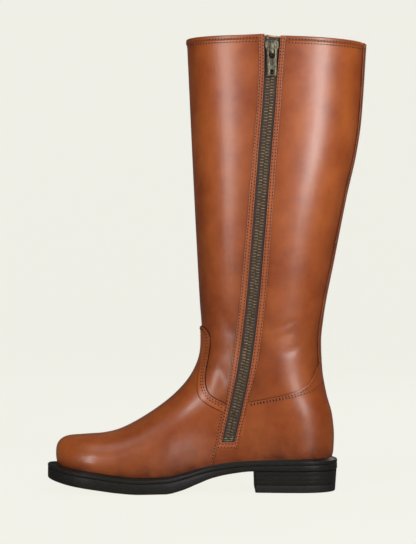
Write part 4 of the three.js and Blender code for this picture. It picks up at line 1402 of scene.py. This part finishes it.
def heel_ring(inward, height):
    """The sole's outline round the heel, closed by a straight breast."""
    end = HEEL_LENGTH - inward * 0.4
    forward = mix(end, inward, end_spaced(64))[::-1]
    round_back = closing(forward - inward, HEEL_ROUND - inward)
    outer = -(edge_out(forward) - inward) * round_back
    inner = (edge_in(forward) - inward) * round_back
    across = np.linspace(outer[-1] + BREAST_CORNER, inner[-1] - BREAST_CORNER, 16)
    forward[-1] = end - BREAST_CORNER
    x = np.concatenate([outer, across, inner[::-1][:-1]])
    y = np.concatenate([forward, np.full(len(across), end), forward[::-1][:-1]])
    return np.stack([x, -y, np.full(len(x), height)], axis=1)


def heel_stack(profile):
    """Rings from the underside to the top. Each row is the share drawn in, inset and height."""
    rows = []
    for share, inward, height in profile:
        ring = heel_ring(inward, height)
        centre = np.array([0.0, -HEEL_MIDDLE, height])
        rows.append(centre + (ring - centre) * share)
    return np.array(rows)


def heel_inset(height):
    """The heel's slope: how far it is drawn in at this height."""
    return mix(1.9, 0.5, height / HEEL_TOP)


lift_rows = heel_stack([
    (0.0, 2.2, 0.0), (0.5, 2.2, 0.0), (0.97, 2.2, 0.0), (1.0, 2.4, 0.0), (1.0, 2.0, 0.35),
    (1.0, heel_inset(1.2), 1.2), (1.0, heel_inset(4.0), 4.0),
    (1.0, heel_inset(6.4), LIFT_HEIGHT - 0.25), (1.0, heel_inset(7.0) + 0.2, LIFT_HEIGHT),
    (0.5, 2.0, LIFT_HEIGHT), (0.0, 2.0, LIFT_HEIGHT),
])
top_lift = grid_piece("rubber_top_lift", lift_rows, around=True)
finish_piece(top_lift, stained("black_rubber", (0.010, 0.0098, 0.0095), 0.55, 500.0))
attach(top_lift, "boot")
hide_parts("top_lift")

STACK_FOOT = LIFT_HEIGHT + 0.15
stack = [(0.0, 2.0, STACK_FOOT), (0.5, 2.0, STACK_FOOT), (1.0, heel_inset(7.2) + 0.2, STACK_FOOT)]
for low in (7.4, 11.55, 15.7):
    high = low + 3.8
    groove = heel_inset(high) + 0.02
    stack += [(1.0, heel_inset(low), low), (1.0, heel_inset(high), high)]
    stack += [(1.0, groove, high + 0.12), (1.0, groove, high + 0.2)]
stack += [(0.5, 1.0, HEEL_TOP), (0.0, 1.0, HEEL_TOP)]
heel = grid_piece("stacked_heel", heel_stack(stack), around=True)
finish_piece(heel, black_edge)
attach(heel, "boot")
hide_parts("heel_block")

# ---- Insole ---------------------------------------------------------------------------------
# A sock of natural leather laid on the sole inside the boot. Its CAD shape stays, and only the
# material is new.

insole_leather = leather(
    "insole_leather", (0.46, 0.27, 0.13), (0.36, 0.2, 0.09), (0.25, 0.12, 0.05), 0.6, 0.2
)
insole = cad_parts["insole"]
insole.data.materials.clear()
insole.data.materials.append(insole_leather)

# ---- Zip stops ------------------------------------------------------------------------------
# Small metal clamps crimped round the tape: a ribbed one across the lower end, and one on each
# side at the top, where the two rows part.

aged_metal = metal("aged_metal", (0.2, 0.18, 0.13), (0.075, 0.066, 0.046), 0.4)


def crimp(name, node, offsets, heights, rib):
    """A clamp over the tape between two offsets from the zip's middle and two heights."""
    base, out = along_zip(np.linspace(*heights, 21), np.linspace(max(offsets), min(offsets), 17))
    ribs = rib * np.cos(np.linspace(-1, 1, 21)[:, None] * math.pi * 2.5)
    lift = ribs - 0.35 * np.abs(np.linspace(-1, 1, 17))[None, :] ** 3
    piece = grid_piece(name, base + out * (lift[..., None] + 0.15))
    finish_piece(piece, aged_metal, 2.1, -1.0, 0.3, 40.0)
    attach(piece, "boot")
    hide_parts(node)


crimp("bottom_stop", "zip_bottom_stop", (-3.7, 3.7), (47.7, 52.6), 0.12)
crimp("top_stop_front", "zip_top_stop_front", (3.5, 5.6), (419.2, 422.6), 0.05)
crimp("top_stop_back", "zip_top_stop_back", (-5.6, -3.5), (419.2, 422.6), 0.05)

# ---- Zip slider -----------------------------------------------------------------------------
# A cast slider: a crown-shaped plate with two sunk shoulders, the body that runs on the teeth,
# and a raised bridge that holds the pull.

SLIDER_TOP = 6.2
PLATE_IN, PLATE_OUT = 0.5, 1.8
BRIDGE_OUT = 5.2
slider_low, slider_high = (Vector(corner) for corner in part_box("zip_slider"))
slider_middle = (slider_low.y + slider_high.y) / 2
slider_spot = np.array([slider_high.x - BRIDGE_OUT * MM, slider_middle, slider_high.z - SLIDER_TOP * MM])


def by_slider(points):
    """Millimetres from the slider's middle on the leather, X outwards, to the frame."""
    return points * MM + slider_spot


def rounded(corners, radius):
    """A closed outline of Y and Z with its corners rounded off."""
    corners = np.asarray(corners, float)
    ends = zip(corners, np.roll(corners, 1, axis=0), np.roll(corners, -1, axis=0))
    line = []
    for corner, before, after in ends:
        start = corner + (before - corner) * radius / np.linalg.norm(before - corner)
        end = corner + (after - corner) * radius / np.linalg.norm(after - corner)
        for t in np.linspace(0, 1, 5):
            line.append(start * (1 - t) ** 2 + corner * 2 * t * (1 - t) + end * t ** 2)
    return np.array(line)


def mirrored(corners):
    """Corners on the right going up, and the same on the left going down."""
    return [*corners, *[(-y, z) for y, z in reversed(corners)]]


def slab(name, outline, low, high, edge, place):
    """A plate lying flat against the leather between two X, with rounded edges."""
    centre = outline.mean(axis=0)
    along = np.roll(outline, -1, axis=0) - np.roll(outline, 1, axis=0)
    inward = unit(np.stack([-along[:, 1], along[:, 0]], axis=1))
    soft = edge * 0.3
    profile = (
        (0.0, edge, low), (1.0, edge, low), (1.0, soft, low + soft), (1.0, 0.0, low + edge),
        (1.0, 0.0, high - edge), (1.0, soft, high - soft), (1.0, edge, high), (0.0, edge, high),
    )
    rows = []
    for share, inset_by, x in profile:
        ring = centre + (outline + inward * inset_by - centre) * share
        rows.append(np.column_stack([np.full(len(ring), x), ring]))
    return grid_piece(name, np.array(rows), around=True, place=place)


SHOULDER = ((2.7, 0.4), (5.1, 0.4), (5.1, 4.0), (2.7, 5.0))
CROWN = mirrored([(3.4, -8.6), (4.2, -7.2), (4.2, -2.8), (6.1, -0.2), (6.1, 4.4), (4.2, 6.2)])
crown = slab("slider_crown", rounded(CROWN, 0.7), PLATE_IN, PLATE_OUT, 0.35, by_slider)
for side in (1, -1):
    shoulder = rounded([(side * y, z) for y, z in SHOULDER][::side], 0.8)
    cut_away(crown, slab("shoulder", shoulder, PLATE_OUT - 0.8, PLATE_OUT + 2, 0.1, by_slider))
finish_piece(crown, aged_metal, smooth=35.0)
body = slab(
    "slider_body", rounded(mirrored([(3.4, -8.6), (3.9, -3), (5.2, 1.5), (3.6, 6.0)]), 0.6),
    -1.8, PLATE_IN + 0.1, 0.2, by_slider,
)
finish_piece(body, aged_metal, smooth=35.0)
BRIDGE_PATH = ((1.4, -8.0), (3.4, -8.0), (5.2, -6.4), (5.2, 3.6), (3.6, 5.6), (1.4, 5.6))
bridge_line = rounded(BRIDGE_PATH, 0.9)[3:-3]
bridge_across = np.linspace(-1, 1, 9)
bridge_rows = np.array([
    [(x - 0.4 * abs(t) ** 3, -1.6 * t, z) for t in bridge_across] for x, z in bridge_line
])
bridge = grid_piece("slider_bridge", bridge_rows[:, ::-1], place=by_slider)
finish_piece(bridge, aged_metal, 1.0, -1.0, 0.2)
for piece in (crown, body, bridge):
    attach(piece, "boot")
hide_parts("zip_slider")

# ---- Zip pull -------------------------------------------------------------------------------
# A flat cast tab that hangs from the bridge by a U-shaped eye. Its plate has a raised rim round a
# sunk panel, with a small square hole near the end.

PULL_THICK = 0.7
THROUGH = 3.0
pull_low, pull_high = (Vector(corner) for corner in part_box("zip_pull"))
pull_middle = (pull_low + pull_high) / 2
pull_spot = np.array([pull_middle.x, pull_middle.y, pull_high.z - PULL_THICK * MM])


def by_hinge(points):
    """Millimetres from the middle of the pull's cross bar to the frame."""
    return points * MM + pull_spot


TAB = mirrored([(4.0, -25.5), (4.1, -10.0), (3.9, -1.0), (3.0, 0.7)])
pull = slab("pull_tab_plate", rounded(TAB, 0.9), -PULL_THICK, PULL_THICK, 0.3, by_hinge)
EYE = mirrored([(2.0, -9.2), (2.9, -6.6), (2.9, -0.75)])
cut_away(pull, slab("eye", rounded(EYE, 1.2), -THROUGH, THROUGH, 0.1, by_hinge))
HOLE = mirrored([(1.7, -23.8), (1.7, -19.4)])
cut_away(pull, slab("hole", rounded(HOLE, 0.4), -THROUGH, THROUGH, 0.1, by_hinge))
PANEL = mirrored([(3.1, -24.4), (3.1, -11.2)])
SUNK = PULL_THICK - 0.3
for low, high in ((SUNK, THROUGH), (-THROUGH, -SUNK)):
    cut_away(pull, slab("panel", rounded(PANEL, 0.6), low, high, 0.1, by_hinge))
finish_piece(pull, aged_metal, smooth=35.0)
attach(pull, "pull_tab")
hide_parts("zip_pull")
